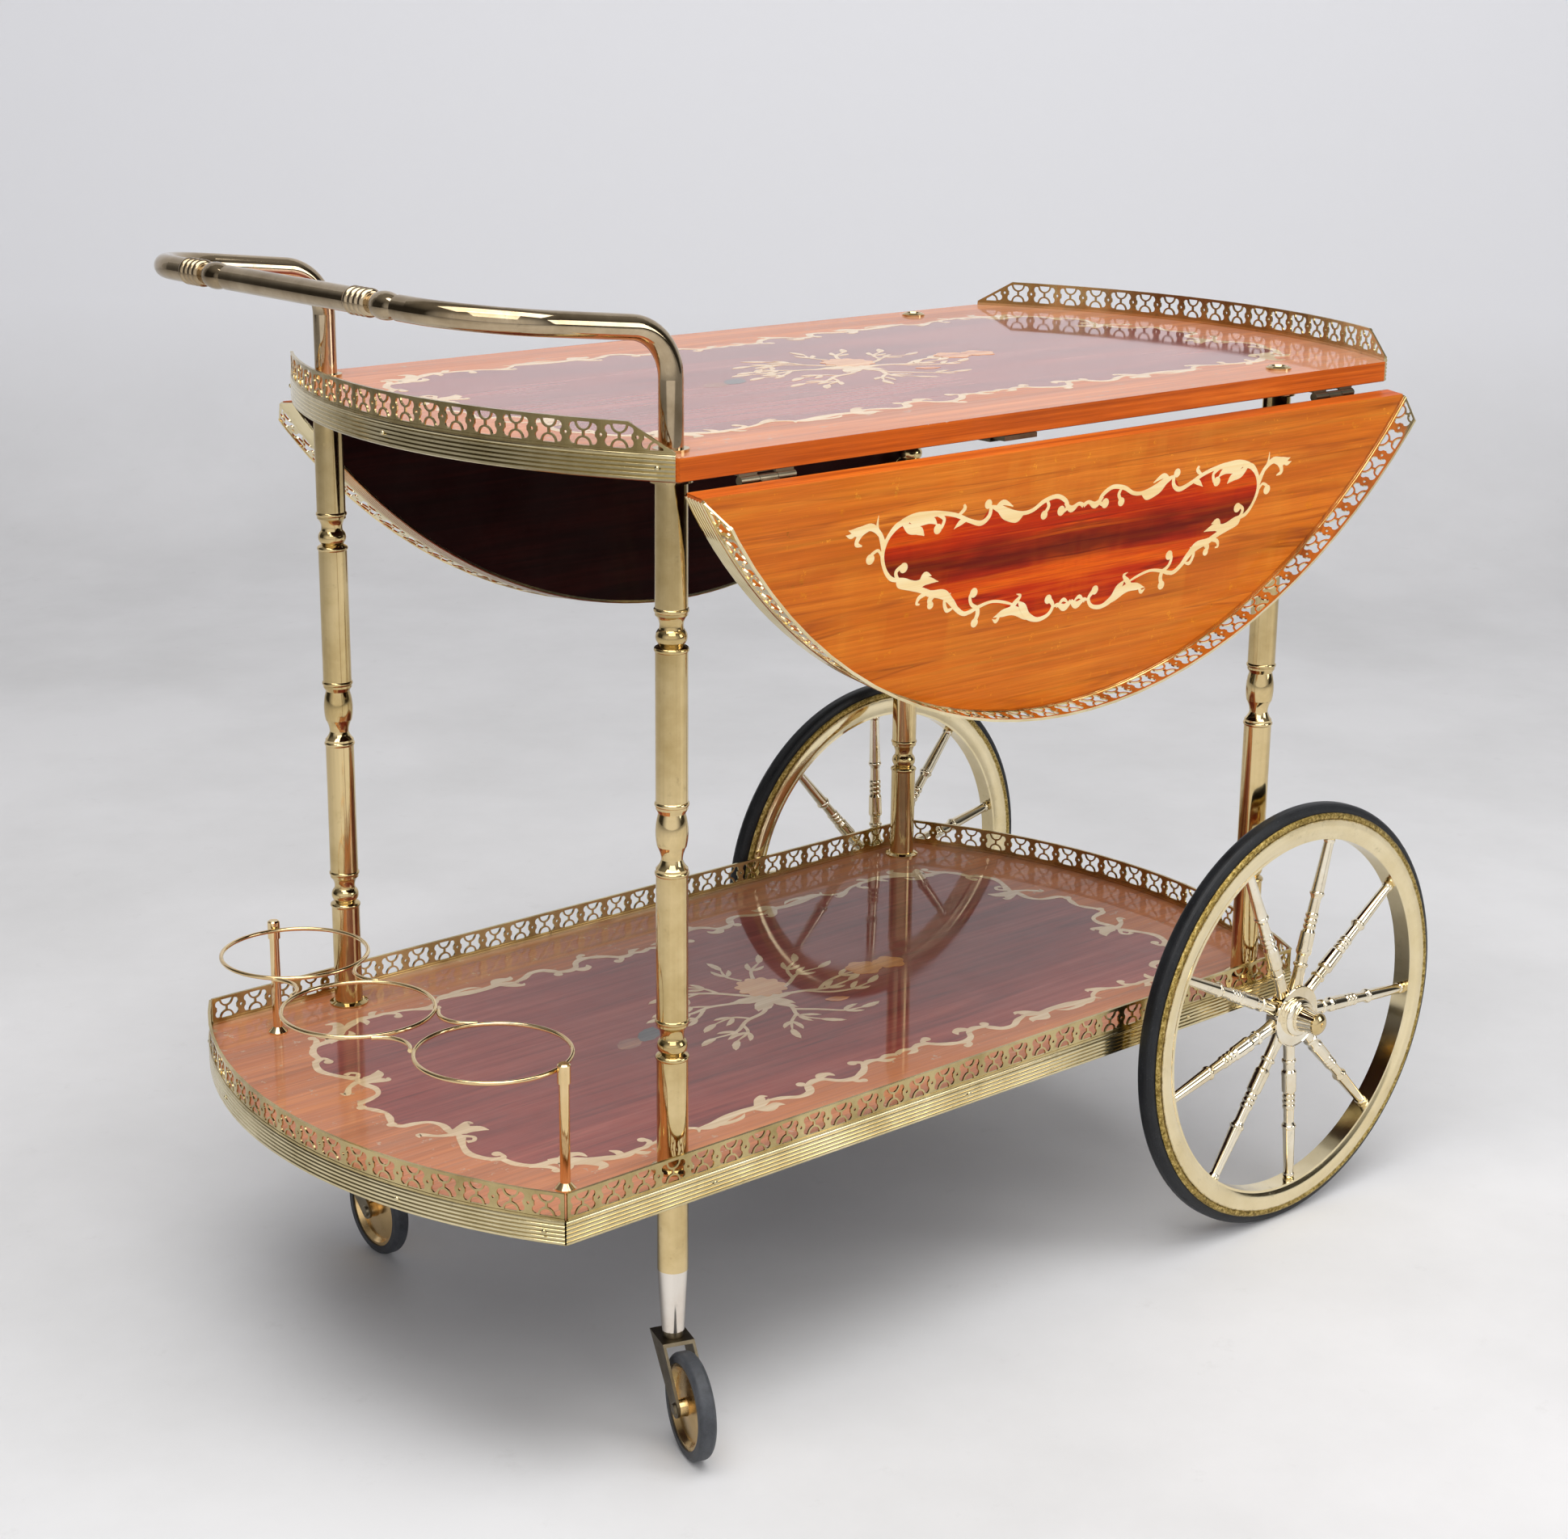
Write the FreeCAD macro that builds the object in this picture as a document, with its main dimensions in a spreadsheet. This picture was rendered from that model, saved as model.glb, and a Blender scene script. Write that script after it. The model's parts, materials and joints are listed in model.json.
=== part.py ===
"""Brass and marquetry drop-leaf tea trolley.

Millimetres, +Z up, floor at Z = 0, +X from the push handle towards the big wheels.
The origin is on the floor under the middle of the trolley's own box.
Expressions are written with the sheet's aliases; bound() turns them into sheet references.
"""
import FreeCAD, Part
import math
import os
import re
import Sketcher

Vector = FreeCAD.Vector
Rotation = FreeCAD.Rotation
X_AXIS = Vector(1, 0, 0)
Y_AXIS = Vector(0, 1, 0)
Z_AXIS = Vector(0, 0, 1)

SIZES = {
    # frame
    "post_pitch_x": 580, "post_inset": 24, "post_dia": 21, "post_bore": 11,
    "axle_drop": 8.6, "shelf_rise": 480, "board_thick": 15,
    # boards: width, how far the straight sides run past the posts, and how far the ends bow out
    "top_width": 444, "low_narrow": 3, "top_front": 12, "top_back": 97, "low_front": 104.75,
    "low_back": 27.75, "bow_handle": 67, "bow_wheel": 60,
    # edge rails and pierced galleries
    "rail_thick": 2.5, "rail_lip": 2, "ridge_depth": 0.8, "ridge_count": 5, "bead_height": 3,
    "bead_bulge": 0.9, "rail_end_gap": 0.6,
    "gallery_thick": 1.2, "gallery_height": 19, "gallery_inset": 0.6, "gallery_pitch": 24.5,
    "band_height": 2.2, "lip_height": 1.5, "lip_out": 0.4, "top_slant": 31, "leaf_slant": 15,
    "eye_share": 0.63, "web": 1.3, "slope_band": 2.2, "lobe_share": 0.38, "wing_share": 0.4, "wing_tip": 0.8,
    "dot_radius": 1.1, "corner_gap": 0.2, "nail_head": 3.2, "nail_height": 1.2, "nail_shank": 1.4,
    "nail_length": 9, "nail_outer_share": 0.94, "nail_inner_share": 0.47, "nail_side_share": 0.33,
    # turned work on the posts: where it starts, as shares of the height between the boards
    "upper_share": 0.759, "vase_share": 0.441, "lower_share": 0.168,
    "ring_height": 3.2, "ring_round": 0.62, "bead_depth": 2.5, "bead_length": 10, "bead_round": 0.68,
    "neck_length": 9, "neck_round": 1, "land": 1.6,
    "vase_neck_depth": 3.5, "vase_foot": 6, "vase_flare": 9, "vase_shoulder_depth": 0.8,
    "vase_top_depth": 1.7, "vase_length": 22, "vase_round": 2, "vase_lip": 3,
    # post fittings
    "washer_over": 3, "washer_thick": 4, "flange_over": 4, "flange_thick": 3, "flange_land": 1,
    "nut_over": 3, "nut_thick": 2.2, "cap_over": 4, "cap_thick": 2.6, "cap_dish": 12,
    "collar_over": 3.5, "collar_thick": 2, "socket_depth": 26, "stud_reach": 24, "fit_gap": 0.1,
    "ferrule_length": 45, "ferrule_end_dia": 15.5, "ferrule_step": 0.2, "spigot_length": 14,
    # push handle
    "tube_dia": 16, "tube_wall": 1.6, "handle_reach": 147, "handle_rise": 16,
    "arm_above": 75, "elbow_radius": 34, "corner_radius": 58,
    "grip_share": 0.5, "grip_bead": 5.6, "grip_bead_dia": 18, "grip_bulb": 24, "grip_bulb_dia": 17.6,
    "grip_neck_depth": 2.2, "grip_groove": 2, "grip_land": 0.8, "grip_beads": 4,
    # hinges of the drop leaves
    "hinge_drop": 4.5, "leaf_gap": 0.5, "hinge_plate": 1.2, "knuckle_radius": 3, "pin_radius": 1.5,
    "pin_gap": 0.08, "hinge_length": 45, "hinge_depth": 20, "knuckle_gap": 0.4,
    "hinge_from_handle": 69, "hinge_from_wheel": 61.5,
    # drop leaves, hanging with a slight inward lean
    "leaf_end_gap": 1, "leaf_depth": 190, "leaf_lean": 7,
    # pull-out leaf supports
    "bar_width": 31, "bar_thick": 3.4, "bar_length": 205, "bar_place": -7, "bar_pitch": 48,
    "bar_gap": 0.3, "guide_wall": 1.6, "guide_length": 62, "guide_inset": 12, "bar_stop": 3,
    # bottle holder on the lower board
    "ring_radius": 52, "wire_dia": 3, "ring_above": 82, "ring_gap": 19, "ring_in": 14.75,
    "ring_bow": 25, "link_radius": 22, "stem_dia": 7, "stem_foot_dia": 14, "stem_foot": 2.5,
    "holder_cap_dia": 9, "holder_cap_length": 13.5, "holder_cap_over": 6, "stem_turn": 74,
    # big wheels
    "wheel_dia": 342.8, "axle_ahead": 7.8, "wheel_gap": 7.7, "tyre_show": 7, "rim_depth": 21,
    "rim_wall": 4, "rim_half": 9.3, "flange_wall": 2, "rim_edge": 1.9, "rim_lip": 2, "rim_round": 20,
    "rim_bead": 5, "rim_bead_step": 0.8, "rim_bead_round": 3,
    "tyre_half": 7, "tyre_edge": 5, "tyre_round": 5.5, "tyre_seat_gap": 0.3,
    "spoke_count": 9, "spoke_foot": 12, "spoke_root": 9.2, "spoke_collar": 11.8, "spoke_bulb": 12.2,
    "spoke_ring": 10.4, "spoke_waist": 8.6, "spoke_shaft": 10, "spoke_end": 7.8, "hub_radius": 20,
    "hub_half": 6.5, "hub_disc_dia": 49.5, "hub_disc": 2, "hub_lip": 1.1, "hub_dish": 0.8,
    "dome_dia": 31, "dome_top_dia": 23.6, "dome_height": 5, "dome_round": 4.5, "boss_step": 1.5,
    "boss_dia": 20.4, "boss_end_dia": 16, "boss_length": 19.3,
    "axle_dia": 10, "axle_shoulder": 0.5, "axle_gap": 0.08, "end_gap": 0.3, "axle_cap_dia": 17.5,
    "axle_cap": 6, "axle_cap_round": 9.5, "axle_pip_dia": 4, "axle_pip": 0.6,
    "near_spoke_turn": 35, "far_spoke_turn": 12,
    "bracket_in": 48, "bracket_width": 26, "bracket_thick": 16, "bracket_drop": 17,
    # casters
    "caster_dia": 73, "caster_trail": 34, "caster_tyre": 12, "caster_rubber": 7,
    "caster_round": 4, "disc_web": 3, "disc_hub_dia": 13, "disc_cone": 2, "disc_rim": 2.5, "rivet_dia": 5,
    "rivet_head_dia": 9, "rivet_head": 1.6, "fork_side_gap": 3.4, "fork_wall": 2, "fork_front": 15,
    "fork_back": 11, "fork_low": 0.5, "fork_end_radius": 6.5, "stem_pin_dia": 8,
    "stem_head_dia": 14, "stem_head": 2, "stem_collar": 5, "swivel_gap": 0.3, "stem_up": 30,
    "near_caster_turn": 251.5, "far_caster_turn": 268,
}

doc = FreeCAD.newDocument("TeaTrolley")
sheet = doc.addObject("Spreadsheet::Sheet", "Sizes")
for row, (alias, number) in enumerate(SIZES.items(), start=1):
    sheet.set(f"A{row}", alias)
    sheet.set(f"B{row}", str(number))
    sheet.setAlias(f"B{row}", alias)
doc.recompute()

NODES = []


def bound(text):
    """Turn aliases in an expression into references to the sheet."""
    return re.sub(r"[a-z][a-z_]*", lambda m: "Sizes." + m[0] if m[0] in SIZES else m[0], text)


def val(text):
    """The number that an expression has now."""
    found = sheet.evalExpression(bound(str(text)))
    return float(getattr(found, "Value", found))


def bind(thing, **expressions):
    """Bind properties of an object to expressions."""
    for name, text in expressions.items():
        thing.setExpression(name, bound(str(text)))


# Derived sizes and places, written as expressions of the sheet's sizes.
AXLE_X = "(post_pitch_x / 2 + axle_ahead)"
AXLE_Z = "(wheel_dia / 2)"
LOW_UNDER = f"({AXLE_Z} + axle_drop)"
LOW_TOP = f"({LOW_UNDER} + board_thick)"
TOP_TOP = f"({LOW_TOP} + shelf_rise)"
TOP_UNDER = f"({TOP_TOP} - board_thick)"
LOW_WIDTH = "(top_width - low_narrow)"
TOP_SIDE = "(post_pitch_x + top_front + top_back)"
TOP_SHIFT = "((top_back - top_front) / 2)"
LOW_SIDE = "(post_pitch_x + low_front + low_back)"
LOW_SHIFT = "((low_back - low_front) / 2)"
LEAF_SIDE = f"({TOP_SIDE} - 2 * leaf_end_gap)"
POST_Y = "(top_width / 2 - post_inset)"
POST_TOP = f"({TOP_UNDER} - washer_thick)"
RAIL_HEIGHT = "(board_thick + rail_lip)"
HINGE_Z = f"({TOP_UNDER} - hinge_drop)"
HINGE_HANDLE = f"({TOP_SHIFT} - {TOP_SIDE} / 2 + hinge_from_handle)"
HINGE_WHEEL = f"({TOP_SHIFT} + {TOP_SIDE} / 2 - hinge_from_wheel)"
BEAD_WAIST = "(post_dia / 2 - bead_depth)"
TRACK = f"({LOW_WIDTH} + 2 * (rail_thick + wheel_gap + rim_half))"
FLANGE_RADIUS = "(wheel_dia / 2 - tyre_show)"
RIM_INNER = f"({FLANGE_RADIUS} - rim_depth)"
RING_X = f"({LOW_SHIFT} - {LOW_SIDE} / 2 + ring_in)"
RING_PITCH = "(2 * ring_radius + ring_gap)"
FORK_TOP = "(caster_dia - fork_low)"
FERRULE_BOTTOM = f"({FORK_TOP} + stem_collar)"
FERRULE_TOP = f"({FERRULE_BOTTOM} + ferrule_length)"
FRONT = f"({LOW_SHIFT} - {LOW_SIDE} / 2 - bow_handle - rail_thick)"
BACK = f"({AXLE_X} + wheel_dia / 2)"
SHIFT = f"(0 - ({FRONT} + {BACK}) / 2)"


def place(thing, x=0, y=0, z=0, rotation=None):
    """Put an object at a place measured from the middle of the four posts."""
    if rotation is not None:
        thing.Placement = FreeCAD.Placement(Vector(), rotation)
    thing.setExpression(".Placement.Base.x", bound(f"{SHIFT} + {x}"))
    thing.setExpression(".Placement.Base.y", bound(str(y)))
    thing.setExpression(".Placement.Base.z", bound(str(z)))
    return thing


def node(thing, label):
    """Name an object as one of the trolley's own pieces."""
    thing.Label = label
    NODES.append(thing)
    return thing


def settled(shape):
    """The same shape with its own placement worked into its geometry."""
    matrix = shape.Placement.toMatrix()
    still = shape.copy()
    still.Placement = FreeCAD.Placement()
    return still.transformed(matrix, copy=True)


def made(label, shape, x=0, y=0, z=0, rotation=None):
    """A piece whose shape no feature makes directly, set from the sheet's numbers."""
    feature = doc.addObject("Part::Feature", label)
    feature.Shape = settled(shape)
    place(feature, x, y, z, rotation)
    return node(feature, label)


def group(label, members):
    """Alike pieces that share one node as separate solids."""
    compound = doc.addObject("Part::Compound", label)
    compound.Links = members
    return node(compound, label)


def cylinder(radius, height, x=0, y=0, z=0, rotation=None):
    piece = doc.addObject("Part::Cylinder", "cylinder")
    bind(piece, Radius=radius, Height=height)
    return place(piece, x, y, z, rotation)


def cut(base, tool):
    piece = doc.addObject("Part::Cut", "cut")
    piece.Base = base
    piece.Tool = tool
    return piece


def ring(outer, inner, height, x, y, z):
    """A washer: outer and inner radius, height, and the middle of its lower face."""
    return cut(cylinder(outer, height, x, y, z), cylinder(inner, height, x, y, z))


# ---------------------------------------------------------------- sketched bodies

def origin_plane(body, role):
    return next(plane for plane in body.Origin.OriginFeatures if plane.Role == role)


def arc_centre(start, end, radius, side):
    """Centre of the arc from start to end; side 1 has it on the left of the way, -1 on the right."""
    chord = end - start
    reach = max(radius ** 2 - chord.Length ** 2 / 4, 0)
    across = Vector(-chord.y, chord.x, 0).normalize() * math.sqrt(reach) * side
    return start + chord * 0.5 + across


def add_edge(sketch, start, end, radius, side):
    """One line or arc of a loop; returns its number and the ends it starts and stops at."""
    if radius is None:
        return sketch.addGeometry(Part.LineSegment(start, end), False), 1, 2
    centre = arc_centre(start, end, radius, side)
    first, last = (start, end) if side > 0 else (end, start)
    circle = Part.Circle(centre, Z_AXIS, radius)
    turn_from = math.atan2(first.y - centre.y, first.x - centre.x)
    turn_to = math.atan2(last.y - centre.y, last.x - centre.x)
    number = sketch.addGeometry(Part.ArcOfCircle(circle, turn_from, turn_to), False)
    return (number, 1, 2) if side > 0 else (number, 2, 1)


def draw_loop(body, name, role, corners, offset=None):
    """A closed sketch. Each corner is (across, up) with expressions, or (across, up, radius, side)
    where the edge that leaves it is an arc: side 1 bulges to the right of the way, -1 to the left."""
    sketch = body.newObject("Sketcher::SketchObject", name)
    sketch.AttachmentSupport = (origin_plane(body, role), "")
    sketch.MapMode = "FlatFace"
    if offset is not None:
        sketch.setExpression(".AttachmentOffset.Base.z", bound(offset))
    spots = [Vector(val(corner[0]), val(corner[1]), 0) for corner in corners]
    edges = []
    for index, corner in enumerate(corners):
        radius = val(corner[2]) if len(corner) > 2 else None
        side = corner[3] if len(corner) > 2 else 0
        edges.append(add_edge(sketch, spots[index], spots[(index + 1) % len(spots)], radius, side))
    for index, (number, first, last) in enumerate(edges):
        following, next_first, _ = edges[(index + 1) % len(edges)]
        sketch.addConstraint(Sketcher.Constraint("Coincident", number, last, following, next_first))
    for index, (number, first, last) in enumerate(edges):
        corner = corners[index]
        for kind, text, amount in (("DistanceX", corner[0], spots[index].x),
                                   ("DistanceY", corner[1], spots[index].y)):
            added = sketch.addConstraint(Sketcher.Constraint(kind, -1, 1, number, first, amount))
            sketch.renameConstraint(added, f"{kind}_{index}")
            sketch.setExpression(f"Constraints.{kind}_{index}", bound(str(text)))
        if len(corner) > 2:
            added = sketch.addConstraint(Sketcher.Constraint("Radius", number, val(corner[2])))
            sketch.renameConstraint(added, f"Radius_{index}")
            sketch.setExpression(f"Constraints.Radius_{index}", bound(corner[2]))
    return sketch


def turned(label, profile, role="XZ_Plane"):
    """A body turned about the sketch's upright axis: Z for XZ_Plane, Y for XY_Plane."""
    body = doc.addObject("PartDesign::Body", label)
    sketch = draw_loop(body, label + "_profile", role, profile)
    spin = body.newObject("PartDesign::Revolution", label + "_turning")
    spin.Profile = sketch
    spin.ReferenceAxis = (sketch, ["V_Axis"])
    spin.Angle = 360
    return body


def board(label, outline, thickness, bottom, holes):
    """A flat board with round holes right through: holes are (x, y, diameter) expressions."""
    body = doc.addObject("PartDesign::Body", label)
    sketch = draw_loop(body, label + "_outline", "XY_Plane", outline, bottom)
    pad = body.newObject("PartDesign::Pad", label + "_pad")
    pad.Profile = sketch
    bind(pad, Length=thickness)
    for number, (x, y, diameter) in enumerate(holes):
        hole = body.newObject("Sketcher::SketchObject", f"{label}_hole_{number}")
        hole.AttachmentSupport = (origin_plane(body, "XY_Plane"), "")
        hole.MapMode = "FlatFace"
        hole.setExpression(".AttachmentOffset.Base.z", bound(bottom))
        circle = Part.Circle(Vector(val(x), val(y), 0), Z_AXIS, val(diameter) / 2)
        hole.addGeometry(circle, False)
        for kind, text in (("DistanceX", x), ("DistanceY", y)):
            added = hole.addConstraint(Sketcher.Constraint(kind, -1, 1, 0, 3, val(text)))
            hole.renameConstraint(added, kind)
            hole.setExpression(f"Constraints.{kind}", bound(text))
        added = hole.addConstraint(Sketcher.Constraint("Diameter", 0, val(diameter)))
        hole.renameConstraint(added, "Width")
        hole.setExpression("Constraints.Width", bound(diameter))
        pocket = body.newObject("PartDesign::Pocket", f"{label}_mortise_{number}")
        pocket.Profile = hole
        pocket.Type = 1
        pocket.Reversed = True
    return body


# ---------------------------------------------------------------- boards

def bow_radius(half_chord, bow):
    """Radius of an arc that stands out by bow over a chord."""
    return f"(({half_chord}) ^ 2 + ({bow}) ^ 2) / (2 * ({bow}))"


def bowed_outline(side, shift, width):
    """Two straight sides and two bowed ends, drawn anticlockwise from the near handle corner."""
    front = f"{shift} - {side} / 2"
    back = f"{shift} + {side} / 2"
    return [
        (front, f"0 - {width} / 2"),
        (back, f"0 - {width} / 2", bow_radius(f"{width} / 2", "bow_wheel"), 1),
        (back, f"{width} / 2"),
        (front, f"{width} / 2", bow_radius(f"{width} / 2", "bow_handle"), 1),
    ]


def post_holes(handle_dia, wheel_dia):
    """Holes over the posts: one diameter at the handle side and one at the wheel side."""
    holes = []
    for side in ("0 - ", ""):
        holes.append(("0 - post_pitch_x / 2", f"{side}{POST_Y}", handle_dia))
        holes.append(("post_pitch_x / 2", f"{side}{POST_Y}", wheel_dia))
    return holes


def boards():
    top = board("top_board", bowed_outline(TOP_SIDE, TOP_SHIFT, "top_width"), "board_thick",
                TOP_UNDER, post_holes("tube_dia + 2 * fit_gap", "post_bore"))
    node(place(top), "top_board")
    low = board("lower_board", bowed_outline(LOW_SIDE, LOW_SHIFT, LOW_WIDTH), "board_thick",
                LOW_UNDER, post_holes("post_dia + 2 * fit_gap", "post_bore"))
    node(place(low), "lower_board")


# ---------------------------------------------------------------- rails and galleries

def rail_section():
    """Section of an edge rail at the XZ plane: X outward from the board's edge, Z from its underside."""
    top = val(RAIL_HEIGHT)
    thick = val("rail_thick")
    root = thick - val("ridge_depth")
    bead_foot = top - val("bead_height")
    ridges = int(val("ridge_count"))
    step = bead_foot / ridges
    points = [(0, 0), (root, 0)]
    for index in range(ridges):
        points.append((thick, (index + 0.25) * step))
        points.append((thick, (index + 0.75) * step))
        points.append((root, (index + 1) * step))
    spots = [Vector(x, 0, z) for x, z in points]
    edges = [Part.makeLine(a, b) for a, b in zip(spots, spots[1:])]
    crown = Vector(root + val("bead_bulge"), 0, (bead_foot + top) / 2)
    bead_end = Vector(root, 0, top)
    edges.append(Part.Arc(spots[-1], crown, bead_end).toShape())
    edges.append(Part.makeLine(bead_end, Vector(0, 0, top)))
    edges.append(Part.makeLine(Vector(0, 0, top), spots[0]))
    return Part.Face(Part.Wire(edges))


def arc_rail(radius, half_turn):
    """A ridged rail bent round +X about the origin, from minus to plus half_turn degrees."""
    section = rail_section()
    section.translate(Vector(radius, 0, 0))
    rail = section.revolve(Vector(), Z_AXIS, 2 * half_turn)
    rail.rotate(Vector(), Z_AXIS, -half_turn)
    return rail


def side_rail(length, front_turn, back_turn):
    """A straight ridged rail along X, outward -Y, whose ends are mitred round the board's corners."""
    thick = val("rail_thick") + val("bead_bulge")
    section = rail_section()
    section.rotate(Vector(), Z_AXIS, -90)
    section.translate(Vector(-length / 2 - thick, 0, 0))
    rail = section.extrude(Vector(length + 2 * thick, 0, 0))

    def corner(end, turn):
        lean = math.radians(turn)
        skew = (1 - math.sin(lean)) / math.cos(lean)
        return [Vector(end * length / 2, 0, 0), Vector(end * (length / 2 + thick * skew), -thick, 0)]

    front = corner(-1, front_turn)
    back = corner(1, back_turn)
    keep = Part.Face(Part.makePolygon([front[0], front[1], back[1], back[0], front[0]]))
    return rail.common(keep.extrude(Vector(0, 0, val(RAIL_HEIGHT))))


def slab(x_low, x_high, z_low, z_high, depth):
    return Part.makeBox(x_high - x_low, 2 * depth, z_high - z_low, Vector(x_low, -depth, z_low))


def rod(x, z, radius, depth):
    return Part.makeCylinder(radius, 2 * depth, Vector(x, -depth, z), Y_AXIS)


def cell_cutters(depth):
    """The openings of one gallery cell, centred on X = 0: two eyes, two winged openings, one dot."""
    low = val("band_height")
    high = val("gallery_height") - val("band_height")
    middle = (low + high) / 2
    eye = val("eye_share") * (high - low) / 2
    lobe = val("lobe_share") * (high - low) / 2
    reach = val("wing_share * gallery_pitch")
    upper_eye = rod(0, high, eye, depth).common(slab(-eye, eye, middle, high, depth))
    lower_eye = rod(0, low, eye, depth).common(slab(-eye, eye, low, middle, depth))
    lobe_rise = (high - low) / 2 - lobe - val("web") / 2
    wing = slab(lobe / 2 - reach, -val("wing_tip"), middle - lobe_rise, middle + lobe_rise, depth)
    wing = wing.fuse([rod(lobe - reach, middle + lobe_rise, lobe, depth),
                      rod(lobe - reach, middle - lobe_rise, lobe, depth)])
    wing = wing.cut([rod(0, high, eye + val("web"), depth), rod(0, low, eye + val("web"), depth)])
    wing = wing.removeSplitter()
    other_wing = wing.mirror(Vector(), X_AXIS)
    dot = rod(val("gallery_pitch") / 2, middle, val("dot_radius"), depth)
    return [upper_eye, lower_eye, wing, other_wing], dot


def plan_band(spots, inner, outer, low, high):
    """A band that stands on a chain of (x, y, outward direction) spots, between two offsets."""
    near = [Vector(x + inner * ox, y + inner * oy, low) for x, y, ox, oy in spots]
    away = [Vector(x + outer * ox, y + outer * oy, low) for x, y, ox, oy in reversed(spots)]
    loop = near + away
    return Part.Face(Part.makePolygon(loop + [loop[0]])).extrude(Vector(0, 0, high - low))


def gallery(spots, slant):
    """A pierced strip that stands on a chain of spots, one flat cell between each two of them."""
    height = val("gallery_height")
    thick = val("gallery_thick")
    lip = val("lip_out")
    depth = thick + 2 * lip
    strip = plan_band(spots, 0, thick, 0, height)
    foot = plan_band(spots, -lip, thick + lip, 0, val("lip_height"))
    crest = plan_band(spots, -lip, thick + lip, height - val("lip_height"), height)
    strip = strip.fuse([foot, crest]).removeSplitter()
    openings, dot = cell_cutters(depth)
    tools = []
    last = len(spots) - 2
    for index, (a, b) in enumerate(zip(spots, spots[1:])):
        turn = math.degrees(math.atan2(b[1] - a[1], b[0] - a[0]))
        middle = Vector((a[0] + b[0]) / 2, (a[1] + b[1]) / 2, 0)
        outward = Vector(a[2] + b[2], a[3] + b[3], 0).normalize() * (thick / 2)
        for opening in openings + ([dot] if index < last else []):
            tool = opening.copy()
            tool.rotate(Vector(), Z_AXIS, turn)
            tool.translate(middle + outward)
            tools.append(tool)
    if slant <= 0:
        return strip.cut(tools)
    openings = Part.makeCompound(tools).cut(end_wedges(spots, slant, depth, val("slope_band")))
    return strip.cut([openings] + end_wedges(spots, slant, depth, 0))


def end_wedges(spots, slant, depth, lower):
    """The room above the sloped ends of a gallery, with both slopes lowered by an amount."""
    height = val("gallery_height")
    wedges = []
    for end, inner in ((spots[0], spots[1]), (spots[-1], spots[-2])):
        way = Vector(inner[0] - end[0], inner[1] - end[1], 0).normalize()
        across = Vector(-way.y, way.x, 0) * (3 * depth)
        base = Vector(end[0], end[1], 0) - way * depth - across
        low = val("lip_height") - depth * height / slant - lower
        far = base + way * (slant + depth)
        points = [base + Z_AXIS * low, far + Z_AXIS * (height - lower), far + Z_AXIS * 2 * height,
                  base + Z_AXIS * 2 * height]
        wedges.append(Part.Face(Part.makePolygon(points + [points[0]])).extrude(across * 2))
    return wedges


def arc_spots(radius, half_turn):
    """Gallery spots round an arc about the origin, as many cells as the pitch gives."""
    half = math.radians(half_turn)
    cells = max(2, round(2 * half * radius / val("gallery_pitch")))
    turns = [half * (2 * index / cells - 1) for index in range(cells + 1)]
    return [(radius * math.cos(t), radius * math.sin(t), math.cos(t), math.sin(t)) for t in turns]


def line_spots(length):
    """Gallery spots along X with outward -Y."""
    cells = max(2, round(length / val("gallery_pitch")))
    return [(length * (index / cells - 0.5), 0, 0, -1) for index in range(cells + 1)]


def end_arc(width, bow, spare):
    """Radius and half angle of a bowed end, stopped short of the corner by spare."""
    half_chord = val(width) / 2
    radius = val(bow_radius(half_chord, bow))
    outer = radius + val("rail_thick")
    return radius, math.degrees(math.asin((half_chord - spare) / (outer if spare else radius)))


def bowed_end(board_name, end_name, width, side, shift, bow, level, mitred):
    """Rail and gallery of one bowed end of a board."""
    spare = 0 if mitred else val("rail_end_gap")
    radius, half_turn = end_arc(width, bow, spare)
    wheel_end = end_name == "wheel_end"
    sign = "+" if wheel_end else "-"
    centre = f"{shift} {sign} ({side} / 2 + {bow} - {radius})"
    turn = None if wheel_end else Rotation(Z_AXIS, 180)
    made(f"{board_name}_rail_{end_name}", arc_rail(radius, half_turn), centre, 0,
         f"{level} - board_thick", turn)
    inset = val("gallery_inset")
    gap = math.degrees(val("corner_gap") / radius)
    strip = gallery(arc_spots(radius + inset, half_turn - gap), 0 if mitred else val("top_slant"))
    made(f"{board_name}_gallery_{end_name}", strip, centre, 0, f"{level} + rail_lip", turn)
    return half_turn


def edge_work():
    """Rails and galleries round the bowed ends of the top and all round the lower board."""
    turns = {}
    for end_name, bow in (("handle_end", "bow_handle"), ("wheel_end", "bow_wheel")):
        bowed_end("top", end_name, "top_width", TOP_SIDE, TOP_SHIFT, bow, TOP_TOP, False)
        turns[end_name] = bowed_end("lower", end_name, LOW_WIDTH, LOW_SIDE, LOW_SHIFT, bow, LOW_TOP, True)
    length = val(LOW_SIDE)
    half = val(LOW_WIDTH) / 2
    rail = side_rail(length, turns["handle_end"], turns["wheel_end"])
    strip = gallery(line_spots(length - 2 * val("corner_gap")), 0)
    made("lower_rail_sides", both_sides(rail, half), LOW_SHIFT, 0, LOW_UNDER)
    made("lower_gallery_sides", both_sides(strip, half + val("gallery_inset")), LOW_SHIFT, 0,
         f"{LOW_TOP} + rail_lip")


def both_sides(shape, reach):
    """A shape drawn for the near side, moved out by reach, with its mirror image on the far side."""
    far = shape.mirror(Vector(), Y_AXIS)
    shape.translate(Vector(0, -reach, 0))
    far.translate(Vector(0, reach, 0))
    return Part.makeCompound([shape, far])


# ---------------------------------------------------------------- posts

def ring_at(level):
    """A half-round ring on the post, from level upward."""
    return [("post_dia / 2", level, "ring_height * ring_round", 1),
            ("post_dia / 2", f"{level} + ring_height")]


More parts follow.
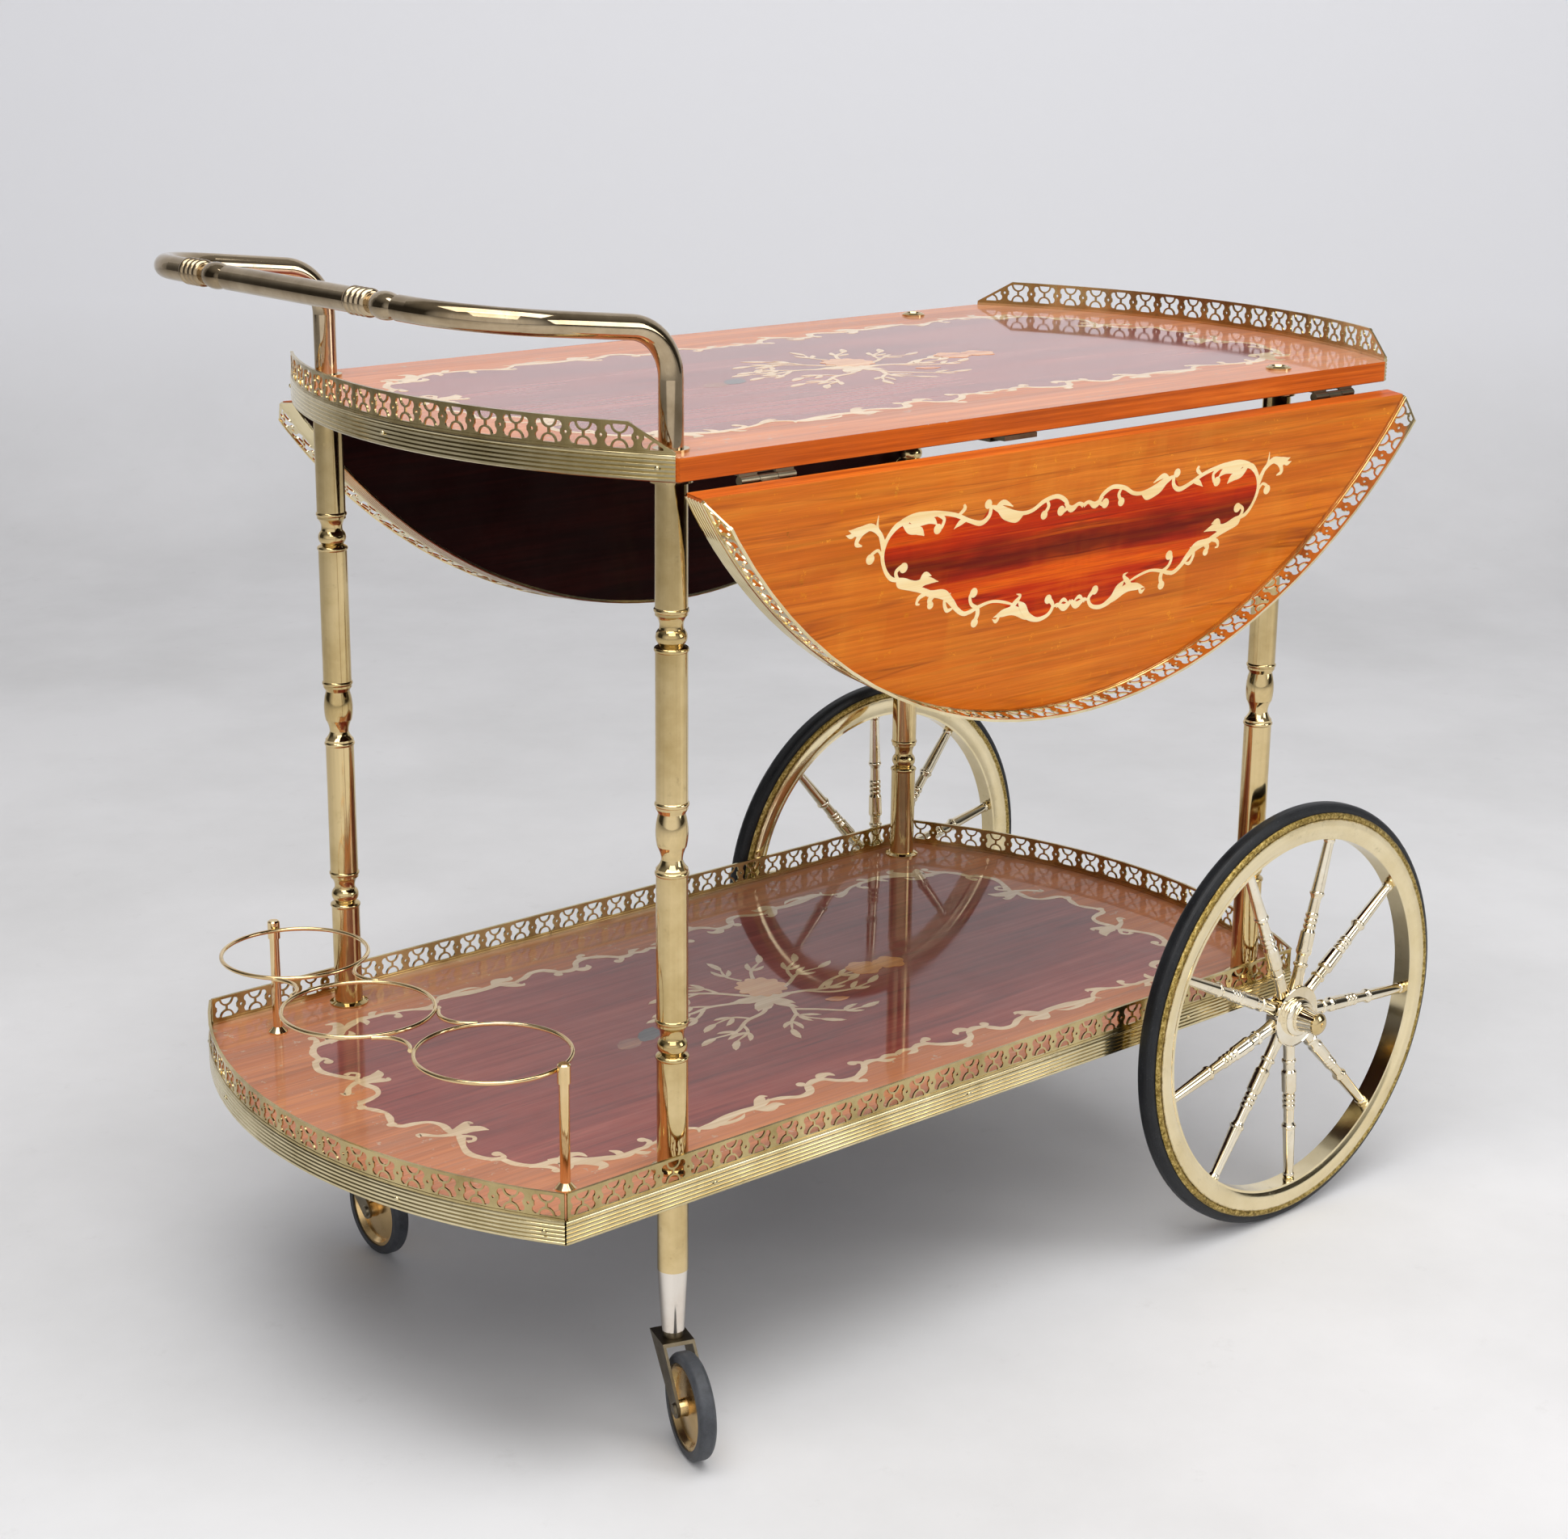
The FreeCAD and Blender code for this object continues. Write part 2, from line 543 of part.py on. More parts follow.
def bead_turning(level):
    """Ring, bead, hollow neck and ring, upward from level."""
    first = f"{level} + ring_height + land"
    second = f"{first} + bead_length"
    third = f"{second} + neck_length"
    return (ring_at(level) + [(BEAD_WAIST, first, "bead_length * bead_round", 1),
                              (BEAD_WAIST, second, "neck_length * neck_round", -1),
                              ("post_dia / 2", third)] + ring_at(f"{third} + land"))


def vase_turning(level):
    """Ring, flared foot, hollow neck, tall vase and ring, upward from level."""
    foot = f"{level} + ring_height + land"
    neck = f"{foot} + vase_foot"
    shoulder = f"{neck} + vase_flare"
    top = f"{shoulder} + vase_length"
    return (ring_at(level) + [("post_dia / 2", foot, "vase_foot * vase_round", -1),
                              ("post_dia / 2 - vase_neck_depth", neck, "vase_flare * vase_round", -1),
                              ("post_dia / 2 - vase_shoulder_depth", shoulder, "vase_length * vase_round", 1),
                              ("post_dia / 2 - vase_top_depth", top),
                              ("post_dia / 2", f"{top} + vase_lip")] + ring_at(f"{top} + vase_lip + land"))


def post_profile(bottom, top_bore):
    """Upward along the outside from the bottom, back down inside the bore."""
    outside = [("post_bore / 2", bottom), ("post_dia / 2", bottom)]
    for share, turning in (("lower_share", bead_turning), ("vase_share", vase_turning),
                           ("upper_share", bead_turning)):
        outside += turning(f"{LOW_TOP} + ({TOP_UNDER} - {LOW_TOP}) * {share}")
    outside.append(("post_dia / 2", POST_TOP))
    if top_bore is None:
        return outside + [("post_bore / 2", POST_TOP)]
    step = f"{POST_TOP} - socket_depth"
    return outside + [(top_bore, POST_TOP), (top_bore, step), ("post_bore / 2", step)]


def at_posts(handle_side, wheel_side):
    """Call a maker at each post that has one; gives near and far pieces, handle side first."""
    found = []
    for x, maker in (("0 - post_pitch_x / 2", handle_side), ("post_pitch_x / 2", wheel_side)):
        for y in (f"0 - {POST_Y}", POST_Y):
            if maker is not None:
                found.append(maker(x, y))
    return found


def posts():
    tube_hole = "tube_dia / 2 + fit_gap"
    post_hole = "post_dia / 2 + fit_gap"
    stud_fit = "post_bore / 2 - fit_gap"
    for end, x, bottom, bore in (("handle", "0 - post_pitch_x / 2", FERRULE_TOP, tube_hole),
                                 ("wheel", "post_pitch_x / 2", f"{LOW_TOP} + flange_thick", None)):
        for side, y in (("near", f"0 - {POST_Y}"), ("far", POST_Y)):
            label = f"post_{end}_{side}"
            node(place(turned(label, post_profile(bottom, bore)), x, y), label)

    washer = "post_dia / 2 + washer_over"
    washers = at_posts(lambda x, y: ring(washer, tube_hole, "washer_thick", x, y, POST_TOP),
                       lambda x, y: ring(washer, "post_bore / 2", "washer_thick", x, y, POST_TOP))
    collar = "tube_dia / 2 + collar_over"
    collars = at_posts(lambda x, y: ring(collar, tube_hole, "collar_thick", x, y, TOP_TOP), None)
    group("post_collars", washers + collars)

    rim = [("post_dia / 2 + flange_over", 0), ("post_dia / 2 + flange_over", "flange_thick / 2"),
           (f"{post_hole} + flange_land", "flange_thick")]
    flange = [(post_hole, 0)] + rim + [(post_hole, "flange_thick")]
    seat = [("post_bore / 2", 0)] + rim + [("post_bore / 2", "flange_thick")]
    group("post_base_flanges", at_posts(lambda x, y: place(turned("flange", flange), x, y, LOW_TOP),
                                        lambda x, y: place(turned("flange_seat", seat), x, y, LOW_TOP)))

    nut = "post_dia / 2 + nut_over"
    stud_top = "board_thick + flange_thick + stud_reach"
    stud = [(0, "0 - nut_thick"), (nut, "0 - nut_thick"), (nut, 0), (stud_fit, 0), (stud_fit, stud_top),
            (0, stud_top)]
    group("shelf_nuts", at_posts(
        lambda x, y: ring(nut, post_hole, "nut_thick", x, y, f"{LOW_UNDER} - nut_thick"),
        lambda x, y: place(turned("shelf_stud", stud), x, y, LOW_UNDER)))

    shank = "0 - board_thick - washer_thick - stud_reach"
    cap = [(0, shank), (stud_fit, shank), (stud_fit, 0), ("post_bore / 2 + cap_over", 0),
           ("post_bore / 2 + cap_over", "cap_thick / 2"), ("cap_dish / 2 + 1", "cap_thick"),
           ("cap_dish / 2", "cap_thick"), ("cap_dish / 2 - 1", "cap_thick / 2"), (0, "cap_thick / 2")]
    group("post_caps", at_posts(None, lambda x, y: place(turned("cap", cap), x, y, TOP_TOP)))

    spigot_top = f"{FERRULE_TOP} + spigot_length"
    ferrule = [("stem_pin_dia / 2", FERRULE_BOTTOM), ("ferrule_end_dia / 2", FERRULE_BOTTOM),
               ("post_dia / 2 - ferrule_step", FERRULE_TOP), (stud_fit, FERRULE_TOP),
               (stud_fit, spigot_top), ("stem_pin_dia / 2", spigot_top)]
    group("ferrules", at_posts(lambda x, y: place(turned("ferrule", ferrule), x, y), None))


# ---------------------------------------------------------------- push handle

def rounded_path(points, radii):
    """Straight runs through the points, joined by tangent arcs at the inner ones."""
    edges = []
    start = points[0]
    for before, corner, after, radius in zip(points, points[1:], points[2:], radii):
        way_in = (corner - before).normalize()
        way_out = (after - corner).normalize()
        turn = way_in.getAngle(way_out)
        reach = radius * math.tan(turn / 2)
        arc_start = corner - way_in * reach
        arc_end = corner + way_out * reach
        inward = (way_out - way_in).normalize()
        middle = corner + inward * (radius / math.cos(turn / 2) - radius)
        edges.append(Part.makeLine(start, arc_start))
        edges.append(Part.Arc(arc_start, middle, arc_end).toShape())
        start = arc_end
    edges.append(Part.makeLine(start, points[-1]))
    return Part.Wire(edges)


def tube(path, start, way, radius):
    """A round bar swept along a path."""
    hoop = Part.Wire(Part.makeCircle(radius, start, way))
    return path.makePipeShell([hoop], True, False)


def grip_section():
    """Turned grip from -Y to +Y: ring, bulb between necks, and a run of beads."""
    neck = val("tube_dia / 2 - grip_neck_depth")
    bulb = val("grip_bulb_dia") / 2
    bead = val("grip_bead")
    bead_radius = val("grip_bead_dia") / 2
    land = val("grip_land")
    tube_radius = val("tube_dia") / 2
    bulb_start = 2 * land + val("grip_groove")
    bulb_end = bulb_start + val("grip_bulb")
    beads_start = bulb_end + val("grip_groove")
    edges = []
    here = Vector(0, 0, 0)
    profile = [(tube_radius, 0, None), (tube_radius, land, None), (neck, 2 * land, None),
               (neck, bulb_start, None), (neck, bulb_end, (bulb, (bulb_start + bulb_end) / 2)),
               (neck, beads_start, None)]
    for index in range(int(val("grip_beads"))):
        low = beads_start + index * bead
        profile.append((neck + land, low + bead, (bead_radius, low + bead / 2)))
    profile.append((tube_radius, profile[-1][1], None))
    profile.append((tube_radius, profile[-1][1] + land, None))
    for radius, along, crown in profile:
        there = Vector(radius, along, 0)
        if crown is None:
            edges.append(Part.makeLine(here, there))
        else:
            edges.append(Part.Arc(here, Vector(crown[0], crown[1], 0), there).toShape())
        here = there
    end = Vector(0, here.y, 0)
    edges.append(Part.makeLine(here, end))
    edges.append(Part.makeLine(end, Vector(0, 0, 0)))
    turned_grip = Part.Face(Part.Wire(edges)).revolve(Vector(), Y_AXIS, 360)
    return turned_grip, here.y


def handle():
    """One tube from socket to socket: up, over, out as two arms and across as the push bar."""
    side = val(POST_Y)
    foot = val(f"{POST_TOP} - socket_depth + fit_gap")
    arm = val(f"{TOP_TOP} + arm_above")
    reach = val("handle_reach")
    bar = arm + val("handle_rise")
    points = [Vector(0, -side, foot), Vector(0, -side, arm), Vector(-reach, -side, bar),
              Vector(-reach, side, bar), Vector(0, side, arm), Vector(0, side, foot)]
    radii = [val("elbow_radius"), val("corner_radius"), val("corner_radius"), val("elbow_radius")]
    path = rounded_path(points, radii)
    outer = tube(path, points[0], Z_AXIS, val("tube_dia") / 2)
    inner = tube(path, points[0], Z_AXIS, val("tube_dia") / 2 - val("tube_wall"))
    bent = outer.cut(inner)
    for middle in (-side * val("grip_share"), side * val("grip_share")):
        grip, length = grip_section()
        start = middle - length / 2
        grip.translate(Vector(-reach, start, bar))
        room = Part.makeCylinder(val("tube_dia"), length, Vector(-reach, start, bar), Y_AXIS)
        bent = bent.cut(room).fuse(grip)
    made("handle", bent.removeSplitter(), "0 - post_pitch_x / 2")


# ---------------------------------------------------------------- hinges and drop leaves

def hinge_half(knuckles, side, bored):
    """Half a hinge about X through the origin. The plate lies side * Y of the pin, just under the
    board; knuckles are (start, end) spans along X."""
    drop = val("hinge_drop")
    plate = val("hinge_plate")
    outer = val("knuckle_radius")
    room = outer + val("knuckle_gap")
    length = val("hinge_length")
    depth = val("hinge_depth")
    low = min(room * side, depth * side)
    pieces = [Part.makeBox(length, depth - room, plate, Vector(-length / 2, low, drop - plate))]
    for start, end in knuckles:
        pieces.append(Part.makeCylinder(outer, end - start, Vector(start, 0, 0), X_AXIS))
        near = min(0, room * side)
        pieces.append(Part.makeBox(end - start, room, plate, Vector(start, near, drop - plate)))
        inward = min(0, outer / 2 * side)
        pieces.append(Part.makeBox(end - start, outer / 2, drop - plate, Vector(start, inward, 0)))
    half = pieces[0].fuse(pieces[1:]).removeSplitter()
    bore = Part.makeCylinder(bored, length + 2, Vector(-length / 2 - 1, 0, 0), X_AXIS)
    return half.cut(bore)


def hinge_spans():
    """The two outer knuckles, on the board, and the middle one, on the leaf."""
    half = val("hinge_length") / 2
    third = val("hinge_length") / 6
    gap = val("knuckle_gap")
    return [(-half, -third - gap / 2), (third + gap / 2, half)], [(-third + gap / 2, third - gap / 2)]


def on_side(shape, x, far):
    """A copy for the near side, or turned half round for the far side, at X = x."""
    piece = shape.copy()
    if far:
        piece.rotate(Vector(), Z_AXIS, 180)
    piece.translate(Vector(x, val("top_width") / 2 * (1 if far else -1), 0))
    return piece


def hinges():
    """Board plates and pins of the four hinges; the leaves carry the other halves."""
    outer_spans, _ = hinge_spans()
    plate = hinge_half(outer_spans, 1, val("pin_radius"))
    length = val("hinge_length")
    pin = Part.makeCylinder(val("pin_radius"), length, Vector(-length / 2, 0, 0), X_AXIS)
    plates = []
    pins = []
    for far in (False, True):
        for x in (HINGE_HANDLE, HINGE_WHEEL):
            plates.append(on_side(plate, val(x), far))
            pins.append(on_side(pin, val(x), far))
    made("hinge_board_halves", Part.makeCompound(plates + pins), 0, 0, HINGE_Z)


def leaf_turn(far):
    """From raised flat to hanging: a quarter turn about X and the lean."""
    hang = Rotation(X_AXIS, 90 + val("leaf_lean"))
    return Rotation(Z_AXIS, 180).multiply(hang) if far else hang


def leaf(side_name, far):
    """A drop leaf in its raised place about the hinge pin, then turned down to hang."""
    y = f"{'' if far else '0 - '}top_width / 2"
    turn = leaf_turn(far)
    radius_text = bow_radius(f"{LEAF_SIDE} / 2", "leaf_depth")
    radius = val(radius_text)
    half_turn = math.degrees(math.asin(val(LEAF_SIDE) / 2 / radius))
    middle = f"{'0 - ' if far else ''}{TOP_SHIFT}"
    outline = [(f"{middle} + {LEAF_SIDE} / 2", "0 - leaf_gap"),
               (f"{middle} - {LEAF_SIDE} / 2", "0 - leaf_gap", radius_text, 1)]
    panel = board(f"leaf_{side_name}_board", outline, "board_thick", "hinge_drop", [])
    node(place(panel, 0, y, HINGE_Z, turn), f"leaf_{side_name}_board")

    centre = Vector(val(middle), radius - val("leaf_depth") - val("leaf_gap"), val("hinge_drop"))
    trim = val("rail_end_gap") / radius
    rail = arc_rail(radius, half_turn - math.degrees(trim))
    strip = gallery(arc_spots(radius + val("gallery_inset"), half_turn - math.degrees(2 * trim)),
                    val("leaf_slant"))
    for name, shape, lift in (("rail", rail, 0), ("gallery", strip, val(RAIL_HEIGHT))):
        shape.rotate(Vector(), Z_AXIS, -90)
        shape.translate(centre + Vector(0, 0, lift))
        made(f"leaf_{side_name}_{name}", shape, 0, y, HINGE_Z, turn)

    _, middle_span = hinge_spans()
    plates = []
    for x in (HINGE_HANDLE, HINGE_WHEEL):
        plate = hinge_half(middle_span, -1, val("pin_radius + pin_gap"))
        plate.translate(Vector(val(x) * (-1 if far else 1), 0, 0))
        plates.append(plate)
    made(f"leaf_{side_name}_hinge_plates", Part.makeCompound(plates), 0, y, HINGE_Z, turn)


# ---------------------------------------------------------------- leaf supports

def support_bar(side_name, far):
    """A flat bar that pulls out from under the top to hold a raised leaf, with a stop at its tail."""
    width = val("bar_width")
    stop = val("bar_stop")
    shape = Part.makeBox(width, val("bar_length"), val("bar_thick"), Vector(-width / 2, 0, 0))
    tail = Part.makeBox(width + 2 * stop, 2 * stop, val("bar_thick"),
                        Vector(-width / 2 - stop, val("bar_length") - 2 * stop, 0))
    bar = shape.fuse(tail).removeSplitter()
    x = "bar_place + bar_pitch" if far else "bar_place"
    y = "top_width / 2" if far else "0 - top_width / 2"
    made(f"support_bar_{side_name}", bar, x, y, f"{TOP_UNDER} - bar_gap - bar_thick",
         Rotation(Z_AXIS, 180) if far else None)


def support_guides():
    """Shallow channels screwed under the top, one round each bar."""
    gap = val("bar_gap")
    wall = val("guide_wall")
    inner = val("bar_width") + 2 * gap
    depth = val("bar_thick") + 2 * gap
    length = val("guide_length")
    outer = Part.makeBox(inner + 2 * wall, length, depth + wall, Vector(-inner / 2 - wall, 0, 0))
    room = Part.makeBox(inner, length, depth, Vector(-inner / 2, 0, wall))
    channel = outer.cut(room)
    channels = []
    for far in (False, True):
        piece = channel.copy()
        if far:
            piece.rotate(Vector(), Z_AXIS, 180)
        x = val("bar_place + bar_pitch") if far else val("bar_place")
        y = (val("top_width") / 2 - val("guide_inset")) * (1 if far else -1)
        piece.translate(Vector(x, y, -depth - wall))
        channels.append(piece)
    made("support_guides", Part.makeCompound(channels), 0, 0, TOP_UNDER)


# ---------------------------------------------------------------- bottle holder

def bottle_holder():
    """Three wire rings in a bowed row, brazed links between them, and two stems with caps."""
    level = f"{LOW_TOP} + ring_above"
    spots = {"near": (RING_X, f"0 - {RING_PITCH}"), "middle": (f"{RING_X} - ring_bow", "0"),
             "far": (RING_X, RING_PITCH)}
    for name, (x, y) in spots.items():
        hoop = doc.addObject("Part::Torus", f"bottle_ring_{name}")
        bind(hoop, Radius1="ring_radius", Radius2="wire_dia / 2")
        node(place(hoop, x, y, level), f"bottle_ring_{name}")
    made("ring_links", Part.makeCompound(ring_links()), RING_X, 0, level)

    foot = LOW_TOP
    cap_top = f"{level} + holder_cap_over"
    cap_bottom = f"{cap_top} - holder_cap_length"
    stem = [(0, foot), ("stem_foot_dia / 2", foot), ("stem_foot_dia / 2", f"{foot} + stem_foot / 2"),
            ("stem_dia / 2", f"{foot} + 2 * stem_foot"), ("stem_dia / 2", cap_bottom),
            ("holder_cap_dia / 2", cap_bottom), ("holder_cap_dia / 2", f"{cap_top} - 1"),
            ("holder_cap_dia / 2 - 1", cap_top), (0, cap_top)]
    reach = "(ring_radius + wire_dia / 2 + holder_cap_dia / 2)"
    stem_x = f"{RING_X} + {reach} * cos(stem_turn)"
    stems = []
    for sign in ("0 - ", ""):
        stem_y = f"{sign}({RING_PITCH} + {reach} * sin(stem_turn))"
        stems.append(place(turned("ring_stem", stem), stem_x, stem_y))
    group("ring_stems", stems)


def ring_links():
    """Curved wires that touch two neighbouring rings from outside, two in each gap."""
    wire = val("wire_dia") / 2
    bend = val("link_radius")
    away = val("ring_radius") + bend + 2 * wire
    links = []
    for side in (-1, 1):
        end_ring = Vector(0, side * val(RING_PITCH), 0)
        middle_ring = Vector(-val("ring_bow"), 0, 0)
        between = middle_ring - end_ring
        halfway = end_ring + between * 0.5
        across = Vector(-between.y, between.x, 0).normalize()
        rise = math.sqrt(away ** 2 - (between.Length / 2) ** 2)
        for hand in (-1, 1):
            centre = halfway + across * (rise * hand)
            first = (end_ring - centre).normalize() * bend + centre
            last = (middle_ring - centre).normalize() * bend + centre
            crown = centre - across * (bend * hand)
            path = Part.Wire(Part.Arc(first, crown, last).toShape())
            way = Vector(-(first - centre).y, (first - centre).x, 0)
            links.append(tube(path, first, way, wire))
    return links


# ---------------------------------------------------------------- big wheels

def spoke_shape():
    """A turned spoke along +X, from the hub drum to the inside of the rim."""
    start = val("hub_radius")
    end = val(f"{RIM_INNER} - fit_gap")
    length = end - start
    shank = val("spoke_root") / 2
    collar = val("spoke_collar") / 2
    bulb = val("spoke_bulb") / 2
    rings = val("spoke_ring") / 2
    waist = val("spoke_waist") / 2
    marks = [(0, val("spoke_foot") / 2, None), (0.11, shank, (0.05, shank + 0.4)), (0.15, shank, None),
             (0.18, shank, (0.165, collar)), (0.225, shank, None), (0.24, bulb - 0.2, None),
             (0.27, bulb - 0.2, (0.255, bulb)), (0.38, bulb - 0.4, None), (0.40, waist, None)]
    for index in range(3):
        low = 0.40 + 0.036 * index
        marks.append((low + 0.036, waist, (low + 0.018, rings)))
    marks += [(0.60, waist - 0.2, None), (0.618, val("spoke_shaft") / 2, None),
              (0.648, val("spoke_shaft") / 2, (0.633, collar)), (0.965, val("spoke_end") / 2, None),
              (1, val("spoke_end") / 2, (0.982, val("spoke_end") / 2 + 0.8))]
    here = Vector(start, marks[0][1], 0)
    edges = [Part.makeLine(Vector(start, 0, 0), here)]
    for share, radius, crown in marks[1:]:
        there = Vector(start + share * length, radius, 0)
        if crown is None:
            edges.append(Part.makeLine(here, there))
        else:
            peak = Vector(start + crown[0] * length, crown[1], 0)
            edges.append(Part.Arc(here, peak, there).toShape())
        here = there
    edges.append(Part.makeLine(here, Vector(end, 0, 0)))
    edges.append(Part.makeLine(Vector(end, 0, 0), Vector(start, 0, 0)))
    return Part.Face(Part.Wire(edges)).revolve(Vector(), X_AXIS, 360)


def wheel(side_name, far):
    """Rubber tyre in a flanged rim, turned spokes, and a hub with a disc and a tapered boss."""
    y = f"{'' if far else '0 - '}{TRACK} / 2"
    out = Rotation(Z_AXIS, 180) if far else None
    seat = f"{RIM_INNER} + rim_wall"
    lip = f"{RIM_INNER} + rim_lip"
    bead = f"{FLANGE_RADIUS} - rim_bead"
    inner = "(rim_half - rim_edge)"
    bead_start = "(rim_half - rim_bead_step)"
    bead_end = "(rim_half - 2 * rim_bead_step)"
    rim = [(RIM_INNER, f"0 - {inner}"), (lip, f"0 - {inner}", "rim_round", 1), (bead, "0 - rim_half"),
           (bead, f"0 - {bead_start}", "rim_bead_round", 1), (FLANGE_RADIUS, f"0 - {bead_end}"),
           (FLANGE_RADIUS, "0 - rim_half + flange_wall"), (seat, "0 - rim_half + flange_wall"),
           (seat, "rim_half - flange_wall"), (FLANGE_RADIUS, "rim_half - flange_wall"),
           (FLANGE_RADIUS, bead_end, "rim_bead_round", 1), (bead, bead_start),
           (bead, "rim_half", "rim_round", 1), (lip, inner), (RIM_INNER, inner)]
    foot = f"{seat} + tyre_seat_gap"
    shoulder = "wheel_dia / 2 - tyre_edge"
    tyre = [(foot, "0 - tyre_half"), (shoulder, "0 - tyre_half", "tyre_round", 1),
            ("wheel_dia / 2", "0 - tyre_half + tyre_edge"),
            ("wheel_dia / 2", "tyre_half - tyre_edge", "tyre_round", 1),
            (shoulder, "tyre_half"), (foot, "tyre_half")]
    for name, profile in (("rim", rim), ("tyre", tyre), ("hub", hub_profile())):
        label = f"wheel_{side_name}_{name}"
        node(place(turned(label, profile, "XY_Plane"), AXLE_X, y, AXLE_Z, out), label)
    spoke = spoke_shape()
    count = int(val("spoke_count"))
    first = val("far_spoke_turn" if far else "near_spoke_turn")
    if far:
        first = 180 - first
    spokes = []
    for index in range(count):
        piece = spoke.copy()
        piece.rotate(Vector(), Y_AXIS, -(first + index * 360 / count))
        spokes.append(piece)
    made(f"wheel_{side_name}_spokes", Part.makeCompound(spokes), AXLE_X, y, AXLE_Z, out)


def hub_profile():
    """Hub about Y with its outer face towards -Y: drum, dished disc, dome and tapered boss."""
    bore = "axle_dia / 2 + axle_gap"
    face = "0 - hub_half"
    disc = f"{face} - hub_disc"
    dish = f"{disc} + hub_dish"
    dome = f"{disc} - dome_height"
    nose = f"{disc} - boss_length"
    return [(bore, nose), ("boss_end_dia / 2", nose), ("boss_dia / 2", f"{dome} - boss_step"),
            ("dome_top_dia / 2", f"{dome} - boss_step"), ("dome_top_dia / 2", dome, "dome_round", 1),
            ("dome_dia / 2", dish), ("hub_disc_dia / 2 - hub_lip", dish),
            ("hub_disc_dia / 2 - hub_lip / 2", disc), ("hub_disc_dia / 2", f"{disc} + hub_dish / 2"),
            ("hub_disc_dia / 2", face), ("hub_radius", face), ("hub_radius", "hub_half"),
            (bore, "hub_half")]


def axle():
    """Stepped axle under the lower board, its brackets, and the caps that hold the wheels on."""
    shoulder = f"({TRACK} / 2 - hub_half - end_gap)"
    nose = f"({TRACK} / 2 + hub_half + hub_disc + boss_length + end_gap)"
    tip = f"({nose} + axle_cap / 2)"
    middle = "axle_dia / 2 + axle_shoulder"
    shaft = [(0, f"0 - {tip}"), ("axle_dia / 2", f"0 - {tip}"), ("axle_dia / 2", f"0 - {shoulder}"),
             (middle, f"0 - {shoulder}"), (middle, shoulder),
             ("axle_dia / 2", shoulder), ("axle_dia / 2", tip), (0, tip)]
    node(place(turned("wheel_axle", shaft, "XY_Plane"), AXLE_X, 0, AXLE_Z), "wheel_axle")
    end = f"(0 - {nose} - axle_cap)"
    cap = [(0, end), ("axle_pip_dia / 2", end),
           ("axle_pip_dia / 2", f"{end} + axle_pip", "axle_cap_round", 1),
           ("axle_cap_dia / 2", f"{end} + 0.7 * axle_cap"),
           ("axle_cap_dia / 2", f"0 - {nose}"), ("axle_dia / 2", f"0 - {nose}"),
           ("axle_dia / 2", f"0 - {tip}"), (0, f"0 - {tip}")]
    caps = [place(turned("axle_cap", cap, "XY_Plane"), AXLE_X, 0, AXLE_Z, turn)
            for turn in (None, Rotation(Z_AXIS, 180))]
    group("axle_caps", caps)
    brackets = []
    for side in ("0 - ", ""):
        block = doc.addObject("Part::Box", "bracket_block")
        bind(block, Length="bracket_width", Width="bracket_thick",
             Height=f"{LOW_UNDER} - {AXLE_Z} + bracket_drop / 2")
        bracket_y = f"{side}({POST_Y} - bracket_in)"
        place(block, f"{AXLE_X} - bracket_width / 2", f"{bracket_y} - bracket_thick / 2",
              f"{AXLE_Z} - bracket_drop / 2")
        bore = cylinder(middle, "2 * bracket_thick", AXLE_X, f"{bracket_y} + bracket_thick", AXLE_Z,
                        Rotation(X_AXIS, 90))
        brackets.append(cut(block, bore))
    group("axle_brackets", brackets)


# ---------------------------------------------------------------- casters

def caster_fork():
    """A bent plate fork: level top round the stem, two legs that slant back to the axle rivet."""
    half = val("caster_tyre") / 2 + val("fork_side_gap")
    wall = val("fork_wall")
    top = val(FORK_TOP)
    trail = val("caster_trail")
    axle_z = val("caster_dia") / 2
    end = val("fork_end_radius")
    down = Vector(trail, 0, axle_z - top).normalize()
    side = Vector(-down.z, 0, down.x) * end
    hub = Vector(trail, 0, axle_z)
    front = Vector(-val("fork_front"), 0, top)
    back = Vector(val("fork_back"), 0, top)
    outline = [front, back, hub + side, hub - side]
    leg = Part.Face(Part.makePolygon(outline + [outline[0]])).extrude(Vector(0, 2 * (half + wall), 0))
    eye = Part.makeCylinder(end, 2 * (half + wall), hub, Y_AXIS)
    block = leg.fuse(eye)
    block.translate(Vector(0, -half - wall, 0))
    room = Part.makeBox(4 * trail, 2 * half, top - wall, Vector(-2 * trail, -half, 0))
    stem = Part.makeCylinder(val("stem_pin_dia") / 2 + val("fit_gap") / 2, 4 * wall,
                             Vector(0, 0, top - 2 * wall))
    rivet = Part.makeCylinder(val("rivet_dia") / 2, 4 * half, Vector(trail, -2 * half, axle_z), Y_AXIS)
    return block.cut([room, stem, rivet]).removeSplitter()


